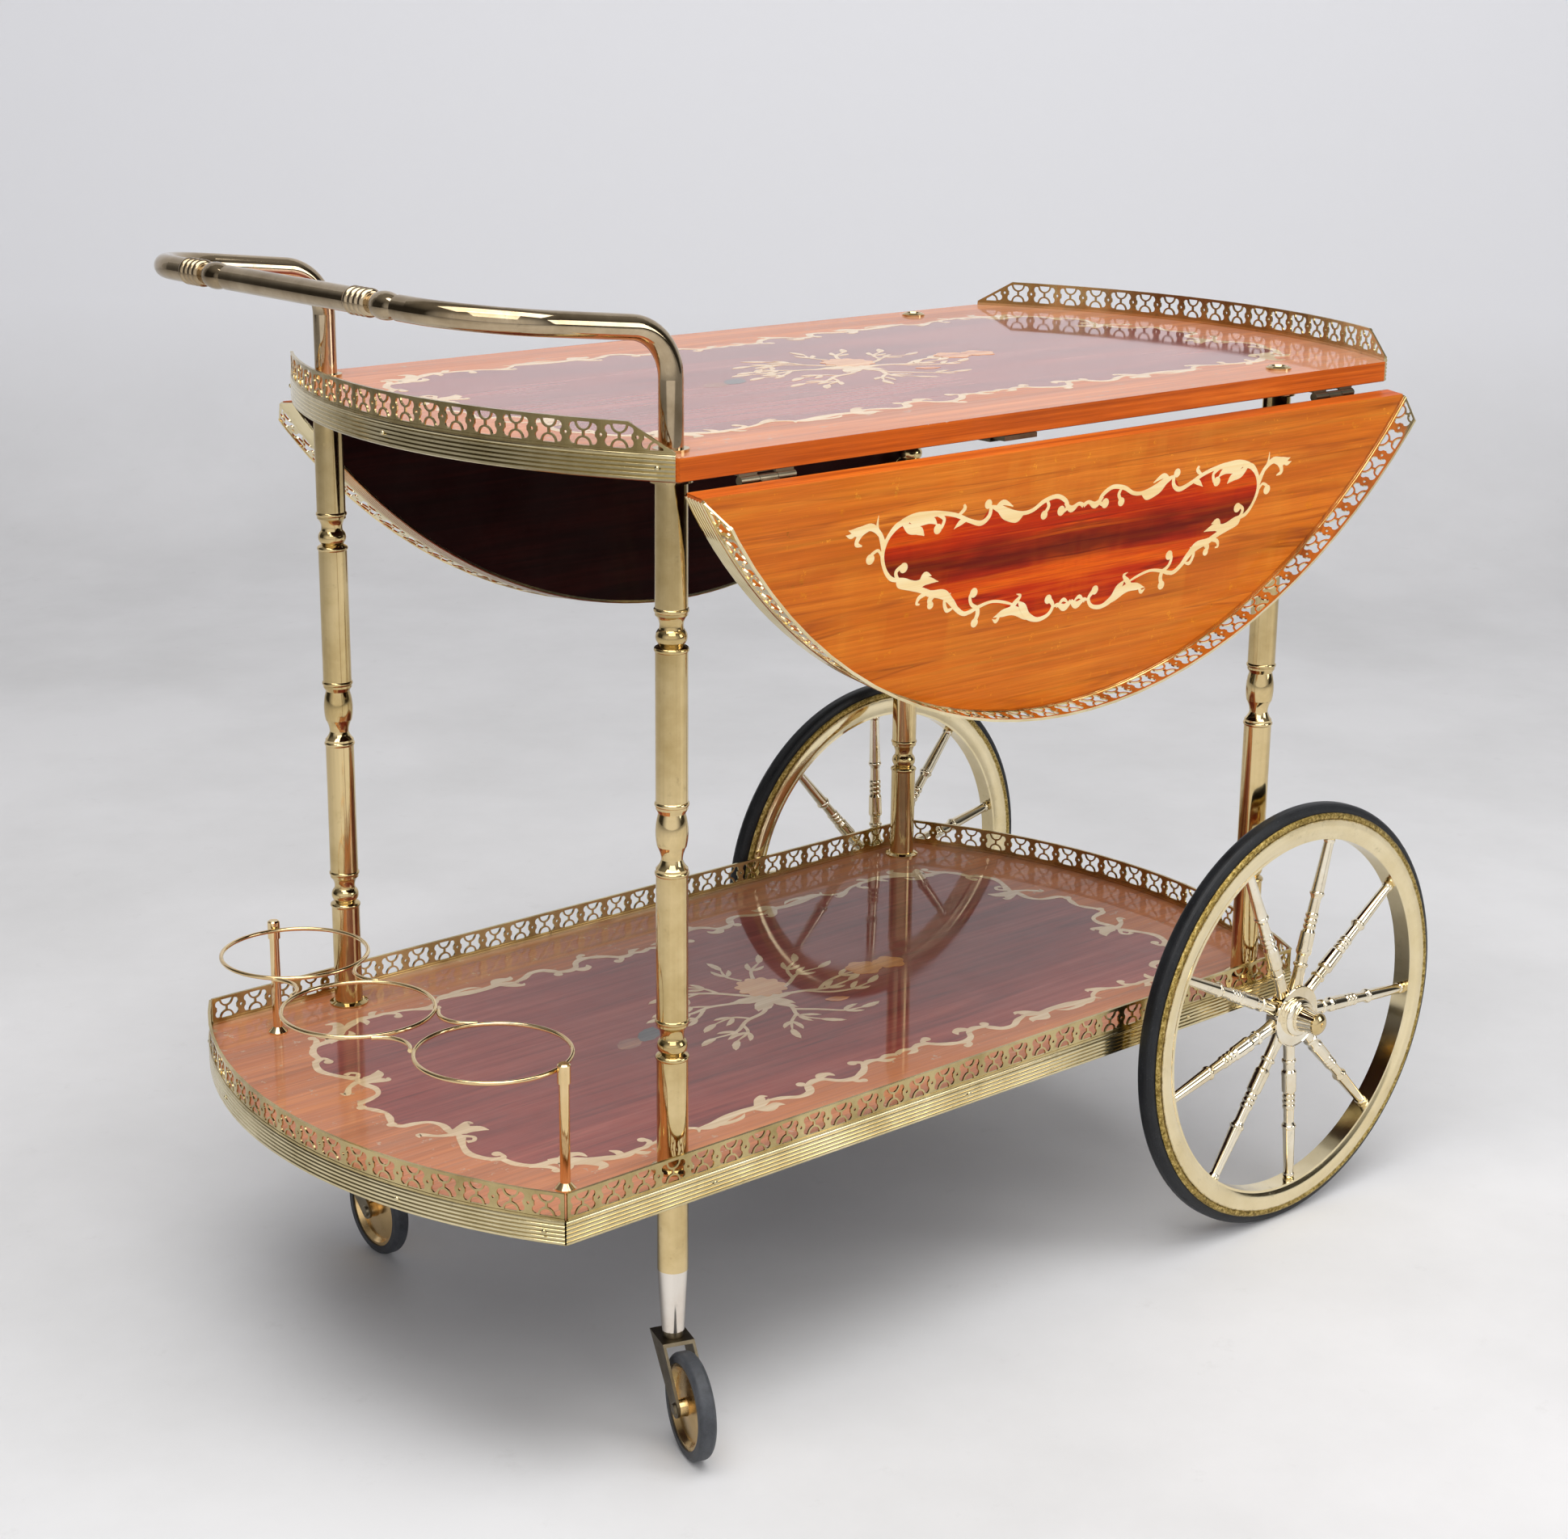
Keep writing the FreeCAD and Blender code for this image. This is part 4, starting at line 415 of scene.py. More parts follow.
LOW_FIELD = wood("lower_rosewood", *ROSEWOOD, fine=0.9, offset=(0.6, 0.2, 0.4), streak=(0.04, 0.008, 0.006),
                 streaks=0.35, coat=0.7)


def smooth(points, steps=6):
    """A Catmull-Rom curve through points of any number of coordinates."""
    ends = [points[0], *points, points[-1]]
    curve = []
    for a, b, c, d in zip(ends, ends[1:], ends[2:], ends[3:]):
        for step in range(steps):
            t = step / steps
            curve.append(tuple(0.5 * (2 * q + (r - p) * t + (2 * p - 5 * q + 4 * r - s) * t ** 2
                                      + (3 * q - p - 3 * r + s) * t ** 3) for p, q, r, s in zip(a, b, c, d)))
    return curve + [tuple(points[-1])]


def ring(count):
    """Angles spread evenly round a circle."""
    return [2 * math.pi * step / count for step in range(count)]


class Face:
    """Turns flat millimetres on a board's face into a place in the frame."""

    def __init__(self, origin, u_way, v_way, lift):
        self.u_way, self.v_way = Vector(u_way), Vector(v_way)
        self.normal = self.u_way.cross(self.v_way).normalized()
        self.origin = Vector(origin) + self.normal * lift * MM

    def __call__(self, u, v):
        return self.origin + self.u_way * (u * MM) + self.v_way * (v * MM)


class Inlay:
    """Veneer pieces of one wood, drawn flat in millimetres and laid on a board's face."""

    LEVELS = 24
    LEVEL_STEP = 0.005 * MM

    def __init__(self, name, place, material, body):
        self.name, self.place, self.material, self.body = name, place, material, body
        self.bm = bmesh.new()
        self.pieces = 0

    def spot(self, u, v):
        """A corner on the board. Pieces of veneer that cross lie a hair above one another."""
        return self.bm.verts.new(self.place(u, v)
                                 + self.place.normal * (self.pieces % self.LEVELS) * self.LEVEL_STEP)

    def face(self, corners):
        if len(set(corners)) == len(corners):
            made = self.bm.faces.get(corners) or self.bm.faces.new(corners)
            made.normal_update()
            if made.normal.dot(self.place.normal) < 0:
                made.normal_flip()

    def patch(self, outline):
        """A filled outline."""
        self.pieces += 1
        spots = [self.spot(u, v) for u, v in outline]
        for triangle in geometry.tessellate_polygon([[Vector((u, v, 0)) for u, v in outline]]):
            self.face([spots[index] for index in triangle])

    def stroke(self, points, shape, width):
        """A ribbon through the points. shape is its width along its length, as shares of width."""
        line = smooth(points)
        sides = []
        self.pieces += 1
        count = len(line) - 1
        for index, (u, v) in enumerate(line):
            ahead = line[min(index + 1, count)]
            behind = line[max(index - 1, 0)]
            way = Vector((ahead[0] - behind[0], ahead[1] - behind[1])).normalized()
            spot = index / count * (len(shape) - 1)
            left = min(int(spot), len(shape) - 2)
            blend = spot - left
            blend = blend * blend * (3 - 2 * blend)
            half = width / 2 * (shape[left] * (1 - blend) + shape[left + 1] * blend)
            sides.append((self.spot(u - way.y * half, v + way.x * half),
                          self.spot(u + way.y * half, v - way.x * half)))
        for (a, b), (c, d) in zip(sides, sides[1:]):
            self.face([a, b, d, c])

    def bud(self, u, v, radius):
        """A ball at the end of a scroll."""
        self.patch([(u + radius * math.cos(angle), v + radius * math.sin(angle)) for angle in ring(18)])

    def leaf(self, u, v, heading, length, width, bend):
        """A pointed leaf growing from a spot, curling to one side by bend degrees."""
        line = [(u, v)]
        joints = 6
        for step in range(1, joints + 1):
            angle = math.radians(heading + bend * step / joints)
            u, v = line[-1]
            line.append((u + length / joints * math.cos(angle), v + length / joints * math.sin(angle)))
        self.stroke(line, (0.25, 0.85, 1.0, 0.75, 0.05), width)

    def flower(self, u, v, radius, lobes, depth, turn=0.0):
        """A flower head with rounded lobes."""
        outline = []
        for angle in ring(lobes * 8):
            reach = radius * (1 - depth * abs(math.cos(lobes * angle / 2)) ** 3)
            outline.append((u + reach * math.cos(angle + turn), v + reach * math.sin(angle + turn)))
        self.patch(outline)

    def done(self):
        mesh = bpy.data.meshes.new(self.name)
        self.bm.to_mesh(mesh)
        self.bm.free()
        mesh.materials.append(self.material)
        thing = bpy.data.objects.new(self.name, mesh)
        bpy.context.scene.collection.objects.link(thing)
        thickness = thing.modifiers.new("veneer_thickness", "SOLIDIFY")
        thickness.thickness = VENEER
        thickness.offset = -1
        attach(thing, self.body)


class Mirrored:
    """Draws on an inlay turned over in u or v, with its ribbons and buds made fuller."""

    def __init__(self, inlay, u_sign, v_sign, ribbons, buds):
        self.inlay, self.u_sign, self.v_sign, self.ribbons, self.buds = inlay, u_sign, v_sign, ribbons, buds

    def stroke(self, points, shape, width):
        self.inlay.stroke([(self.u_sign * u, self.v_sign * v) for u, v in points], shape, width * self.ribbons)

    def bud(self, u, v, radius):
        self.inlay.bud(self.u_sign * u, self.v_sign * v, radius * self.buds)


# A quarter of a board's field, in millimetres from its middle: from the middle of an end to the middle of a
# side. These points and the strokes of board_border were read off the photograph.
BORDER = [(347, 0), (349, 10), (351, 21), (343, 27), (332, 35), (329, 46), (331, 58), (329, 70), (338, 84),
          (341, 96), (336, 108), (328, 114), (327, 126), (320, 136), (306, 139), (296, 146), (286, 153),
          (275, 157), (262, 161), (251, 160), (238, 156), (226, 157), (212, 153), (198, 156), (188, 160),
          (165, 155), (141, 156), (128, 152), (118, 155), (106, 160), (93, 157), (84, 148), (76, 147),
          (66, 156), (54, 160), (42, 155), (34, 147), (26, 145), (10, 145), (0, 148)]


def board_border(draw):
    """A quarter of the scrolled border round a board's field."""
    # bowed end, from its middle towards the corner
    draw.stroke([(347, 0), (350, 9), (354, 17)], (0.6, 1.0, 0.7), 4.2)
    draw.bud(355, 19, 3.2)
    draw.stroke([(355, 20), (351, 26), (342, 28), (333, 32), (329, 42), (331, 55), (329, 68)],
                (0.5, 1.0, 0.6, 1.0, 0.7), 4.6)
    draw.stroke([(332, 60), (324, 58), (314, 62), (309, 69)], (0.5, 1.3, 0.9, 0.1), 8)
    draw.stroke([(331, 57), (321, 54), (314, 50), (311, 53)], (0.5, 1.1, 0.8, 0.2), 6)
    draw.stroke([(332, 60), (342, 55), (350, 46), (353, 50)], (0.9, 0.6, 0.9, 0.1), 5)
    draw.stroke([(329, 66), (324, 72), (327, 77), (332, 76)], (0.9, 0.7, 0.7, 1.0), 3.6)
    draw.stroke([(330, 66), (338, 80), (342, 94), (337, 108), (329, 114)], (1.1, 0.7, 0.9, 0.8, 1.0), 5)
    draw.stroke([(337, 110), (328, 113), (326, 106)], (1.0, 0.8, 0.6), 4)
    draw.bud(328, 105, 3.1)
    # corner
    draw.stroke([(330, 114), (328, 126), (320, 136), (307, 139)], (0.8, 1.0, 0.8, 1.2), 4.6)
    draw.stroke([(323, 135), (316, 141), (312, 149), (316, 152)], (1.0, 1.0, 0.8, 0.6), 4)
    draw.stroke([(309, 137), (300, 143), (304, 151), (309, 158)], (0.9, 1.5, 1.2, 0.2), 6.5)
    draw.stroke([(302, 139), (297, 146), (288, 154), (284, 165), (291, 169)], (0.6, 1.6, 1.3, 0.9, 0.2), 6.5)
    draw.stroke([(300, 140), (294, 137), (286, 140), (284, 147)], (0.9, 1.2, 0.9, 0.2), 5)
    draw.bud(313, 152, 2.8)
    # wave scroll and sprigs along the side
    draw.stroke([(296, 145), (284, 152), (275, 158), (264, 163)], (0.8, 0.8, 1.3, 0.9), 4.6)
    draw.stroke([(266, 162), (264, 155), (267, 149)], (1.0, 0.9, 0.2), 5)
    draw.stroke([(270, 160), (262, 162), (252, 160), (244, 160), (237, 155), (238, 149)],
                (0.9, 1.4, 0.8, 0.9, 0.8, 0.9), 4)
    draw.bud(239, 149, 2.9)
    draw.stroke([(255, 161), (251, 167), (246, 168)], (0.9, 1.1, 0.2), 4)
    draw.stroke([(244, 160), (230, 157), (216, 151), (206, 152), (198, 158), (201, 164)],
                (0.5, 0.7, 0.9, 0.8, 0.7, 0.3), 3.8)
    draw.stroke([(222, 153), (213, 149), (206, 145), (203, 148)], (0.6, 1.3, 0.9, 0.1), 4.6)
    # long leaf
    draw.stroke([(200, 158), (188, 161), (172, 157), (156, 155), (141, 156), (126, 151)],
                (0.2, 1.3, 1.2, 0.9, 0.9, 0.4), 5.6)
    draw.stroke([(190, 160), (178, 164), (164, 164), (156, 159)], (0.3, 1.0, 0.8, 0.1), 3.6)
    draw.stroke([(147, 157), (138, 163), (129, 161), (124, 165)], (0.3, 1.5, 1.1, 0.1), 5.2)
    draw.stroke([(143, 155), (133, 148), (128, 144), (124, 146)], (0.4, 1.3, 0.8, 0.1), 5)
    draw.stroke([(128, 152), (118, 155), (107, 161), (97, 160), (90, 153), (91, 146)],
                (0.6, 1.0, 0.9, 1.1, 0.8, 0.8), 4.4)
    draw.bud(92, 145, 3.2)
    # pair of scrolls, a leaf and the dip beside the middle
    draw.stroke([(98, 160), (90, 150), (80, 146), (72, 149), (66, 157), (57, 161), (48, 159)],
                (0.4, 0.8, 1.2, 0.8, 0.9, 1.2, 0.7), 4.4)
    draw.stroke([(76, 147), (70, 142), (64, 143), (62, 148)], (0.6, 1.3, 0.9, 0.2), 5)
    draw.stroke([(58, 160), (56, 166), (52, 169)], (0.9, 1.0, 0.7), 4)
    draw.bud(52, 168, 2.6)
    draw.stroke([(54, 161), (44, 157), (36, 151), (31, 143), (36, 138)], (0.7, 1.1, 0.9, 0.8, 0.8), 4.4)
    draw.bud(37, 139, 3.2)
    draw.stroke([(36, 149), (26, 144), (16, 146), (8, 144), (0, 147)], (0.5, 1.1, 0.7, 0.9, 0.8), 4.4)
    draw.stroke([(20, 145), (14, 151), (6, 152)], (0.6, 1.1, 0.2), 4)


# The bouquet, in millimetres from the middle of a field: leaves round its heart, as heading, length, width and
# bend, then stems with their widths.
SPRAY_LEAVES = ((140, 26, 9, 25), (170, 30, 9, -20), (205, 28, 10, 20), (240, 24, 9, -18), (275, 30, 9, 16),
                (310, 24, 9, -20), (345, 26, 8, 22), (20, 18, 8, 12), (100, 20, 8, -20))
SPRAY_STEMS = (
    ([(0, 4), (-14, 22), (-26, 36), (-42, 46), (-58, 50)], 3.4),
    ([(-22, 32), (-24, 46), (-34, 60)], 2.6),
    ([(-34, 42), (-48, 40), (-62, 34)], 2.6),
    ([(-4, 0), (-26, 8), (-46, 14), (-66, 12), (-84, 18)], 3.2),
    ([(-44, 14), (-56, 22), (-74, 26)], 2.4),
    ([(-52, 13), (-68, 2), (-86, 2)], 2.6),
    ([(-2, -4), (-20, -20), (-42, -26), (-62, -38), (-82, -38)], 3.2),
    ([(-36, -25), (-46, -14), (-64, -16)], 2.4),
    ([(-50, -31), (-56, -44), (-72, -52)], 2.4),
    ([(2, -6), (4, -24), (-4, -42), (4, -58)], 3.2),
    ([(2, -30), (16, -42), (30, -56), (44, -60)], 2.8),
    ([(-2, -38), (-16, -48), (-26, -60)], 2.4),
    ([(6, 0), (30, -4), (52, -12), (76, -10)], 3.2),
    ([(34, -5), (48, -20), (66, -26), (84, -24)], 2.6),
    ([(46, -10), (60, -2), (78, 2), (92, 2)], 2.6),
    ([(6, 4), (34, 14), (54, 26), (76, 26)], 3.0),
    ([(46, 22), (54, 38), (70, 48)], 2.6),
    ([(20, 40), (30, 54), (46, 64)], 2.6),
    ([(10, 42), (6, 56), (12, 70)], 2.4),
)
BLOSSOM = (13, 22)
BLOSSOM_VEINS = 5


def spray(cream, peach, orange, russet, slate):
    """Bouquet in the middle of a board's field."""
    peach.flower(*BLOSSOM, 21, 11, 0.16)
    u, v = BLOSSOM
    for vein in range(BLOSSOM_VEINS):
        turn = vein * 1.3
        cream.stroke([(u, v), (u + 8 * math.cos(turn), v + 8 * math.sin(turn)),
                      (u + 15 * math.cos(turn + 0.35), v + 15 * math.sin(turn + 0.35))], (0.1, 0.9, 0.1), 1.2)
    for leaf in SPRAY_LEAVES:
        cream.leaf(0, 0, *leaf)
    orange.flower(104, 3, 15, 6, 0.14)
    orange.flower(129, 0, 13.5, 5, 0.18, 0.6)
    orange.leaf(34, -30, -40, 20, 9, 30)
    russet.leaf(-150, -10, 15, 26, 17, 12)
    slate.leaf(-128, -8, 25, 30, 16, 20)
    for points, width in SPRAY_STEMS:
        cream.stroke(points, (1.0, 0.85, 0.75, 0.4), width * 1.35)
        end, before = points[-1], points[-2]
        heading = math.degrees(math.atan2(end[1] - before[1], end[0] - before[0]))
        cream.leaf(*end, heading + 8, 20, 6.2, 18)
        cream.leaf(*before, heading + 48, 18, 4.6, -34)
        cream.leaf(*before, heading - 44, 16, 4.4, 38)


def outline_of(quarter):
    """A whole outline from a quarter, mirrored both ways."""
    side = quarter + [(-u, v) for u, v in reversed(quarter[:-1])]
    return side + [(u, -v) for u, v in reversed(side[1:-1])]


def dress_board(prefix, middle, field_wood):
    low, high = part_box(f"{prefix}_board")
    origin = (middle, (low.y + high.y) / 2, high.z)

    def inlay(name, lift, material):
        return Inlay(f"{prefix}_{name}", Face(origin, (1, 0, 0), (0, 1, 0), lift), material, "trolley")

    field = inlay("field", 0.03, field_wood)
    field.patch(outline_of([tuple(spot) for spot in smooth(BORDER, 3)]))
    border = inlay("scrollwork", 0.07, CREAM)
    for u_sign in (-1, 1):
        for v_sign in (-1, 1):
            board_border(Mirrored(border, u_sign, v_sign, ribbons=1.25, buds=1.15))
    bouquet = (inlay("spray_stems", 0.10, CREAM), inlay("spray_blossom", 0.24, PEACH),
               inlay("spray_flowers", 0.24, ORANGE), inlay("spray_russet_leaf", 0.07, RUSSET),
               inlay("spray_smoked_leaf", 0.09, SLATE))
    spray(*bouquet)
    for layer in (field, border, *bouquet):
        layer.done()


# Half of a leaf's cartouche, in millimetres from its middle and down from the hinge edge. These points and
# the strokes of cartouche were read off the photograph.
CARTOUCHE = [(0, 45), (10, 46), (19, 40), (28, 37), (40, 39), (52, 44), (66, 45), (80, 38), (92, 37), (100, 45),
             (112, 42), (125, 37), (140, 35), (158, 36), (172, 38), (182, 46), (186, 58), (181, 69), (173, 75),
             (158, 81), (146, 87), (132, 90), (122, 98), (112, 105), (104, 108), (96, 104), (84, 106), (72, 107),
             (60, 113), (48, 120), (36, 123), (24, 122), (16, 117), (6, 118), (0, 116)]


def cartouche(draw):
    """Half of the scrolled frame of a leaf's cartouche."""
    # arched edge, from the middle outwards
    draw.stroke([(0, 115), (6, 119), (13, 116), (18, 117)], (0.7, 1.3, 0.7, 0.3), 4.2)
    draw.stroke([(2, 117), (8, 113), (14, 118)], (0.2, 1.0, 0.3), 3)
    draw.stroke([(54, 107), (48, 113), (42, 120), (32, 124), (22, 122), (18, 116), (22, 111)],
                (0.1, 1.5, 1.2, 0.8, 0.7, 0.7, 0.9), 4.2)
    draw.bud(23.5, 110.5, 3.4)
    draw.stroke([(76, 116), (66, 114), (56, 114), (46, 119), (36, 123)], (0.1, 1.3, 1.5, 1.2, 0.3), 4.4)
    draw.stroke([(62, 114), (57, 109), (52, 104), (56, 102)], (0.6, 1.1, 0.6, 0.1), 4)
    draw.stroke([(70, 115), (73, 119), (77, 117)], (0.5, 0.9, 0.1), 3.4)
    draw.stroke([(56, 110), (68, 106), (80, 104), (92, 106), (100, 109), (106, 108)],
                (0.4, 0.7, 0.7, 0.9, 0.7, 0.5), 3)
    draw.stroke([(93, 106), (92, 111), (94, 116)], (0.9, 1.0, 0.9), 3.8)
    draw.bud(94, 117, 3.3)
    draw.stroke([(92, 107), (99, 103), (101, 97), (97, 94)], (0.9, 0.8, 0.8, 0.8), 3.4)
    draw.bud(98, 95, 3.5)
    draw.stroke([(94, 106), (104, 109), (112, 105), (119, 98), (127, 92), (138, 90), (146, 88)],
                (0.4, 0.7, 0.8, 1.1, 1.5, 1.1, 0.5), 4.6)
    draw.stroke([(116, 103), (122, 104), (125, 97), (120, 92)], (0.4, 0.9, 0.8, 0.2), 3.4)
    draw.stroke([(134, 90), (139, 94), (138, 98)], (0.9, 1.1, 0.7), 4)
    draw.bud(138, 98, 2.8)
    draw.stroke([(143, 89), (149, 91), (151, 95), (148, 96)], (0.9, 0.9, 0.6, 0.3), 3.4)
    draw.stroke([(136, 90), (148, 86), (158, 82), (168, 80), (172, 76)], (0.6, 1.0, 1.4, 1.0, 0.2), 4.2)
    draw.stroke([(133, 82), (144, 80), (154, 82), (164, 78), (172, 75)], (0.1, 1.2, 1.5, 1.1, 0.5), 4.6)
    draw.stroke([(150, 81), (146, 76), (140, 77)], (0.5, 1.1, 0.1), 4.6)
    draw.stroke([(162, 79), (170, 76), (173, 70), (167, 66)], (0.8, 0.8, 0.8, 0.8), 3.6)
    draw.bud(166.5, 68, 3.6)
    # tip
    draw.stroke([(166, 77), (177, 74), (184, 66), (187, 56), (184, 46), (176, 38), (166, 36)],
                (0.4, 0.8, 0.7, 0.8, 0.8, 1.1, 0.8), 4)
    draw.stroke([(186, 60), (191, 53), (197, 55)], (0.5, 0.7, 0.8), 3)
    draw.bud(197.5, 58, 3.6)
    draw.stroke([(187, 54), (190, 44), (194, 37), (194, 29)], (0.6, 0.9, 0.6, 0.1), 3.6)
    draw.stroke([(186, 49), (192, 41), (200, 36), (210, 38), (219, 36)], (0.5, 0.8, 1.1, 1.5, 0.1), 4.6)
    draw.stroke([(203, 37), (209, 41), (211, 46), (206, 48)], (0.6, 1.0, 0.9, 0.3), 3.8)
    draw.stroke([(210, 37), (216, 40), (221, 39)], (0.6, 1.0, 0.1), 3.6)
    # edge beside the hinge, from the tip back to the middle
    draw.stroke([(180, 42), (172, 36), (160, 34), (146, 34), (134, 35), (122, 38), (110, 43), (99, 46),
                (92, 42), (91, 35)], (0.5, 1.0, 1.5, 1.2, 0.8, 0.8, 0.8, 1.0, 0.9, 0.8), 3.8)
    draw.bud(94, 33.5, 3.3)
    draw.stroke([(172, 37), (164, 42), (156, 44), (151, 48)], (0.4, 1.6, 1.4, 0.2), 4.2)
    draw.stroke([(166, 36), (158, 38), (146, 38), (140, 42)], (0.4, 1.4, 1.2, 0.2), 4.2)
    draw.stroke([(140, 35), (134, 39), (136, 45)], (0.8, 0.8, 0.8), 3.4)
    draw.bud(139, 45, 3.6)
    draw.stroke([(121, 38), (116, 34), (117, 31)], (0.6, 0.9, 0.5), 3.6)
    draw.stroke([(112, 42), (118, 43), (124, 47)], (0.5, 1.1, 0.1), 3.8)
    draw.stroke([(92, 35), (84, 38), (76, 43), (66, 47), (59, 45)], (0.3, 0.9, 1.6, 1.3, 0.2), 4.6)
    draw.stroke([(88, 38), (80, 34), (70, 38)], (0.2, 1.0, 0.2), 4)
    draw.stroke([(82, 36), (72, 41), (60, 44), (50, 43), (40, 38), (28, 36), (19, 40), (16, 45), (20, 48)],
                (0.4, 0.8, 0.8, 0.8, 0.9, 0.9, 0.9, 0.8, 0.7), 3.6)
    draw.bud(22, 47, 3.6)
    draw.stroke([(38, 37), (35, 42), (38, 47)], (0.6, 0.9, 0.9), 3.2)
    draw.bud(38.5, 48, 3.2)
    draw.stroke([(19, 42), (12, 47), (5, 44), (0, 46)], (0.5, 1.3, 0.7, 0.9), 3.8)


def cartouche_veneer(name):
    """Book-matched mahogany with a dark band along its middle, at a wavering height."""
    g = Graph(name)
    source = g.mirrored(LEAF_HINGE["pos_m"][0])
    colour = grain(g, source, (0.30, 0.008, 0.0005), (0.56, 0.032, 0.001), (0.86, 0.140, 0.004),
                   offset=(0.5, 0.2, 0.8), fine=1.3, streak=(0.05, 0.003, 0.001), streaks=0.6, figure=0.5)
    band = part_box("leaf_near_board")[1].z - 73 * MM
    wandering = g.noise(g.spread(source, (9, 40, 40)), scale=1.4, detail=3, roughness=0.5)
    height = g.calc("ADD", g.along(g.position(), UP), g.remap(wandering, (-14 * MM, 14 * MM)))
    offset = g.calc("ABSOLUTE", g.calc("SUBTRACT", height, band))
    colour = g.mix(g.remap(offset, (0.8, 0), of=(2 * MM, 17 * MM)), colour, (0.07, 0.003, 0.0005))
    return lacquer(g, colour, LEAF_COAT)


def dress_leaf(side, sign, cartouche_wood):
    normal, down = leaf_ways(sign)
    across = down.cross(normal)
    corners = [corner.co for corner in NODES[f"leaf_{side}_board"].data.vertices]
    out = max(normal.dot(corner) for corner in corners)
    edge = min(down.dot(corner) for corner in corners)
    origin = normal * out + down * edge + Vector((LEAF_HINGE["pos_m"][0], 0, 0))
    body = f"leaf_{side}"
    field = Inlay(f"{body}_cartouche", Face(origin, across, down, 0.04), cartouche_wood, body)
    whole = [tuple(spot) for spot in smooth(CARTOUCHE, 3)]
    field.patch(whole + [(-u, v) for u, v in reversed(whole[1:-1])])
    scrolls = Inlay(f"{body}_scrollwork", Face(origin, across, down, 0.07), LEAF_CREAM, body)
    for u_sign in (-1, 1):
        cartouche(Mirrored(scrolls, u_sign, 1, ribbons=1, buds=1))
    for layer in (field, scrolls):
        layer.done()


# The lower board's ornament lies midway along its long gallery, and the top's between the leaves' hinges.
lower_low, lower_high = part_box("lower_gallery_sides")
dress_board("lower", (lower_low.x + lower_high.x) / 2, LOW_FIELD)
dress_board("top", LEAF_HINGE["pos_m"][0], TOP_FIELD)
mahogany = cartouche_veneer("cartouche_mahogany")
for side, sign in SIDES:
    dress_leaf(side, sign, mahogany)


# ---------------------------------------------------------------- stage, light and camera

CAMERA_PLACE = Vector((-1.3623, -1.5357, 0.9718))
CAMERA_YAW = math.radians(41.04)
CAMERA_PITCH = math.radians(16.3)
CAMERA_ROLL = math.radians(0.55)
CAMERA_LENS, CAMERA_SENSOR = 64.35, 36

# The floor, in metres along the camera's heading from under the trolley, and the cove that it ends in.
FLOOR_FRONT, FLOOR_BACK, FLOOR_HALF_WIDTH = -4.0, 2.2, 6
COVE_RADIUS, BACKDROP_TOP = 1.2, 5.0
FLOOR_TONES = [(0.34, (0.66, 0.66, 0.665)), (0.6, (0.75, 0.75, 0.76))]
SCUFF_TONE, MARK_TONE, WALL_TONE = (0.52, 0.51, 0.50), (0.38, 0.37, 0.36), (0.87, 0.875, 0.905)
SEEN_FLOOR = (1.06, 1.06, 1.06)

# The room's light by direction.
SIDE_WALLS, END_WALLS, CEILING = (0.045, 0.042, 0.038), (1.0, 1.0, 1.03), (0.28, 0.27, 0.26)
SEEN_ROOM = (0.80, 0.81, 0.84)
ROOM_STRENGTH = 0.88

# Each lamp's place, what it points at, its size in metres, its power in watts and its colour.
LAMPS = {
    "key": ((-1.4, -1.9, 2.8), (0, 0, 0.4), (2.4, 2.0), 38, (1.0, 0.985, 0.96)),
    "top": ((-0.35, -0.6, 2.9), (0, 0, 0.3), (3.4, 1.6), 60, (1, 1, 1)),
    "fill": ((1.7, -2.7, 1.5), (0, 0, 0.4), (1.2, 1.6), 20, (1, 1, 1)),
}


def stage():
    """Pale studio floor that curves up into a backdrop behind the trolley."""
    mesh = bpy.data.meshes.new("floor")
    bm = bmesh.new()
    profile = [(FLOOR_FRONT, 0.0)]
    for angle in range(0, 91, 6):
        profile.append((FLOOR_BACK + COVE_RADIUS * math.sin(math.radians(angle)),
                        COVE_RADIUS - COVE_RADIUS * math.cos(math.radians(angle))))
    profile.append((FLOOR_BACK + COVE_RADIUS, BACKDROP_TOP))
    near, far = [[bm.verts.new((along, across, up)) for along, up in profile]
                 for across in (-FLOOR_HALF_WIDTH, FLOOR_HALF_WIDTH)]
    for index in range(len(profile) - 1):
        bm.faces.new((near[index], near[index + 1], far[index + 1], far[index]))
    bm.to_mesh(mesh)
    bm.free()
    for polygon in mesh.polygons:
        polygon.use_smooth = True
    cove = bpy.data.objects.new("studio_cove", mesh)
    bpy.context.scene.collection.objects.link(cove)
    cove.matrix_world = Matrix.Rotation(math.pi / 2 - CAMERA_YAW, 4, "Z")
    g = Graph("studio_paper")
    where = g.position()
    stains = g.noise(where, scale=1.6, detail=7, roughness=0.62)
    scuffs = g.noise(where, scale=22, detail=9, roughness=0.75)
    marks = g.noise(g.spread(where, (1, 3, 1)), scale=60, detail=6, roughness=0.8)
    colours = g.ramp(stains, FLOOR_TONES)
    colours = g.mix(g.remap(scuffs, (0, 0.30), of=(0.60, 0.76)), colours, SCUFF_TONE)
    colours = g.mix(g.remap(marks, (0, 0.5), of=(0.72, 0.80)), colours, MARK_TONE)
    paler = g.mix(1.0, colours, SEEN_FLOOR, "MULTIPLY")
    floor = g.mix(g.node("LightPath").outputs["Is Camera Ray"], colours, paler)
    wall = g.remap(g.along(where, UP), (0, 1), of=(0.0, 0.35))
    g.set(base_color=g.mix(wall, floor, WALL_TONE), roughness=0.6)
    mesh.materials.append(g.material)


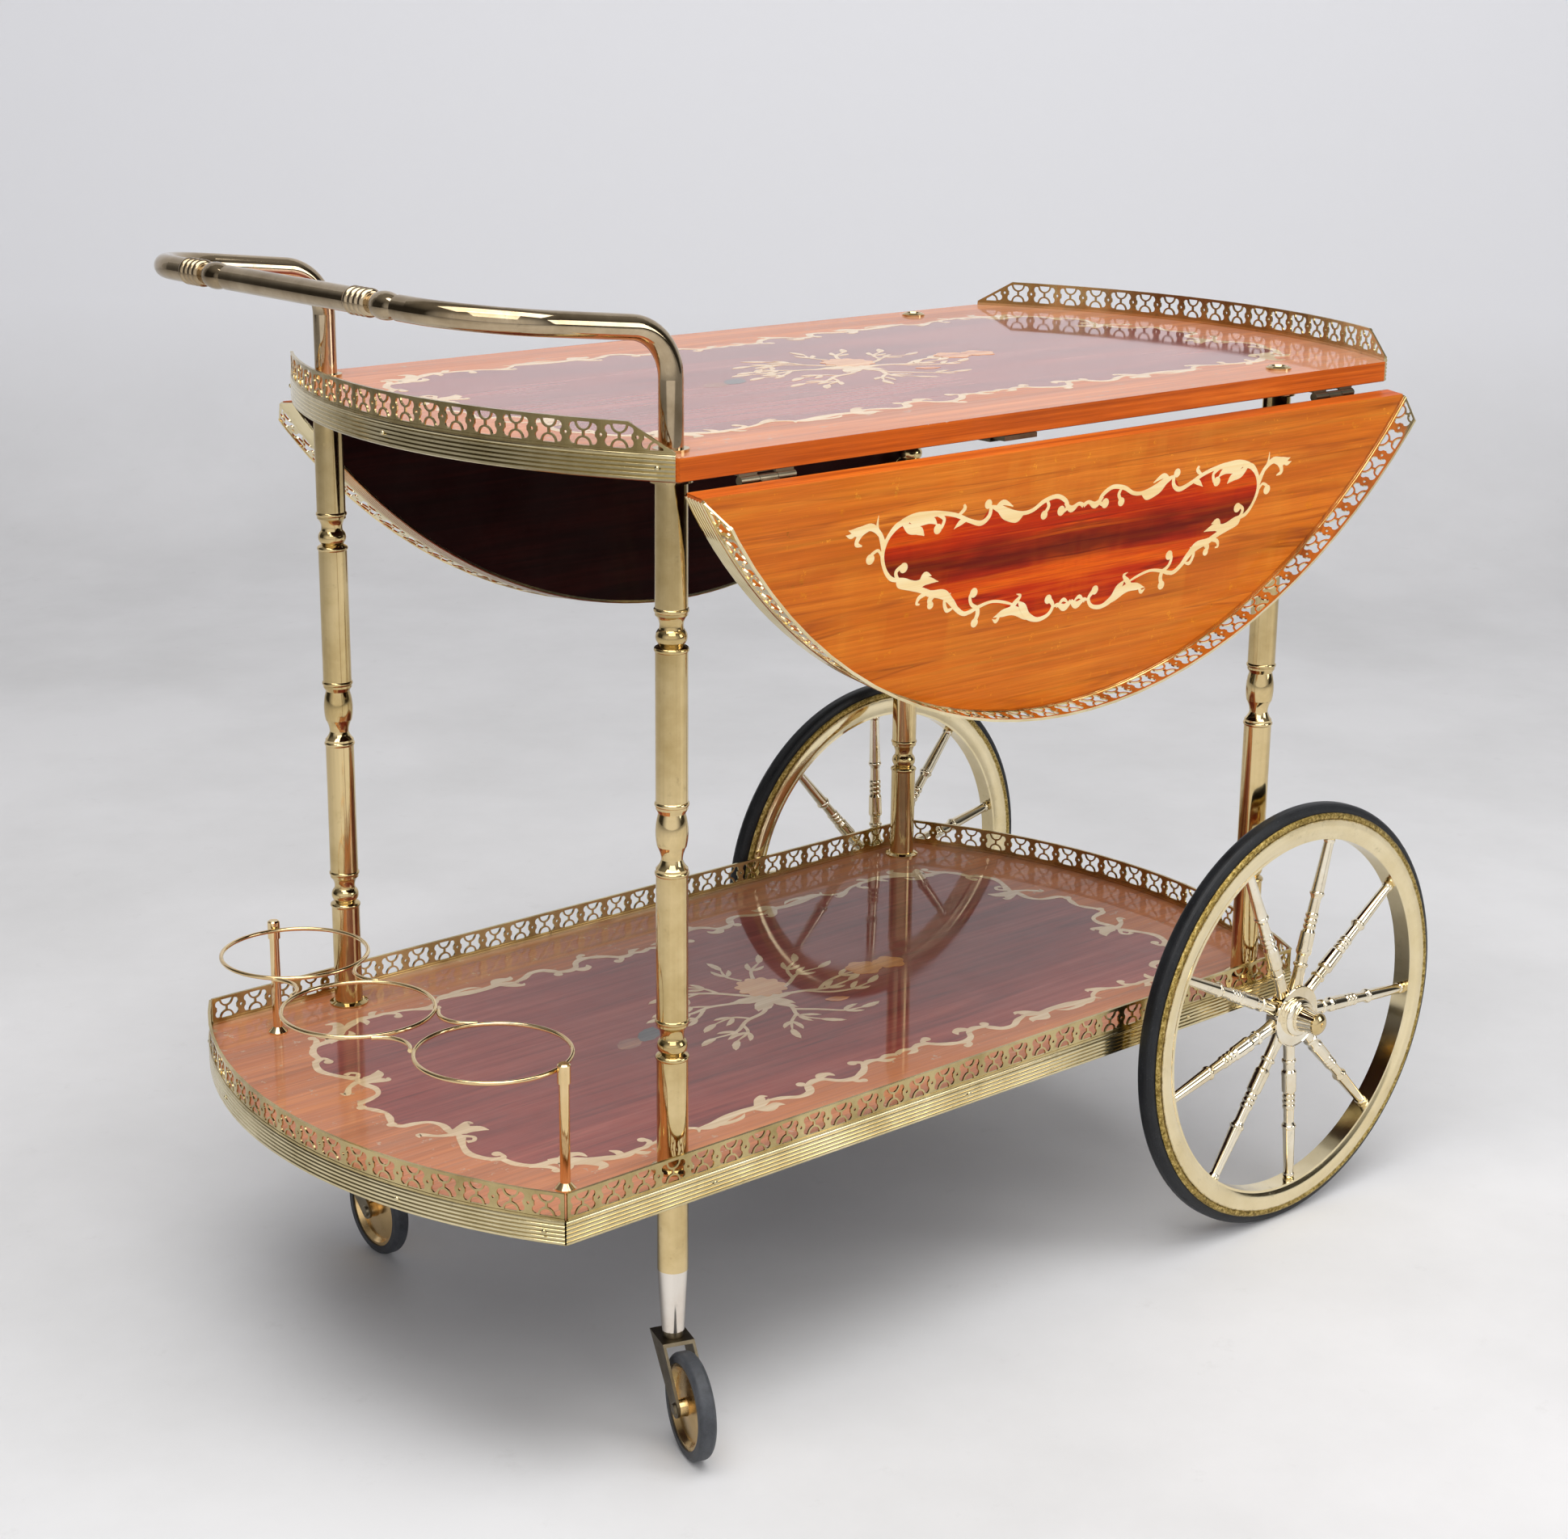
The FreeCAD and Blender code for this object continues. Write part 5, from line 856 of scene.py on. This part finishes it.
def lamp(name, place, target, size, power, colour):
    data = bpy.data.lights.new(name, "AREA")
    data.shape = "RECTANGLE"
    data.size, data.size_y = size
    data.energy = power
    data.color = colour
    thing = bpy.data.objects.new(name, data)
    bpy.context.scene.collection.objects.link(thing)
    way = Vector(target) - Vector(place)
    thing.matrix_world = Matrix.Translation(place) @ way.to_track_quat("-Z", "Y").to_matrix().to_4x4()


def camera():
    data = bpy.data.cameras.new("camera")
    data.sensor_width = CAMERA_SENSOR
    data.lens = CAMERA_LENS
    forward = Vector((math.sin(CAMERA_YAW) * math.cos(CAMERA_PITCH),
                      math.cos(CAMERA_YAW) * math.cos(CAMERA_PITCH), -math.sin(CAMERA_PITCH)))
    right = Vector((math.cos(CAMERA_YAW), -math.sin(CAMERA_YAW), 0))
    up = right.cross(forward)
    rolled_right = right * math.cos(CAMERA_ROLL) + up * math.sin(CAMERA_ROLL)
    rolled_up = up * math.cos(CAMERA_ROLL) - right * math.sin(CAMERA_ROLL)
    turn = Matrix((rolled_right, rolled_up, -forward)).transposed().to_4x4()
    thing = bpy.data.objects.new("camera", data)
    bpy.context.scene.collection.objects.link(thing)
    thing.matrix_world = Matrix.Translation(CAMERA_PLACE) @ turn
    bpy.context.scene.camera = thing


def world():
    """A studio room: bright at both ends, dark at both sides, with a grey ceiling."""
    place = bpy.data.worlds.new("studio")
    bpy.context.scene.world = place
    place.use_nodes = True
    g = Nodes(place.node_tree)
    where = g.node("TexCoord").outputs["Generated"]
    endwards = g.calc("ABSOLUTE", g.along(where, (math.sin(CAMERA_YAW), math.cos(CAMERA_YAW), 0)))
    walls = g.ramp(endwards, [(0.30, SIDE_WALLS), (0.85, END_WALLS)])
    room = g.mix(g.remap(g.along(where, UP), (0, 1), of=(0.35, 0.8)), walls, CEILING)
    background = place.node_tree.nodes["Background"]
    g.link(g.mix(g.node("LightPath").outputs["Is Camera Ray"], room, SEEN_ROOM), background.inputs["Color"])
    background.inputs["Strength"].default_value = ROOM_STRENGTH


stage()
world()
for name, settings in LAMPS.items():
    lamp(name, *settings)
camera()
bpy.context.scene.view_settings.view_transform = "Standard"
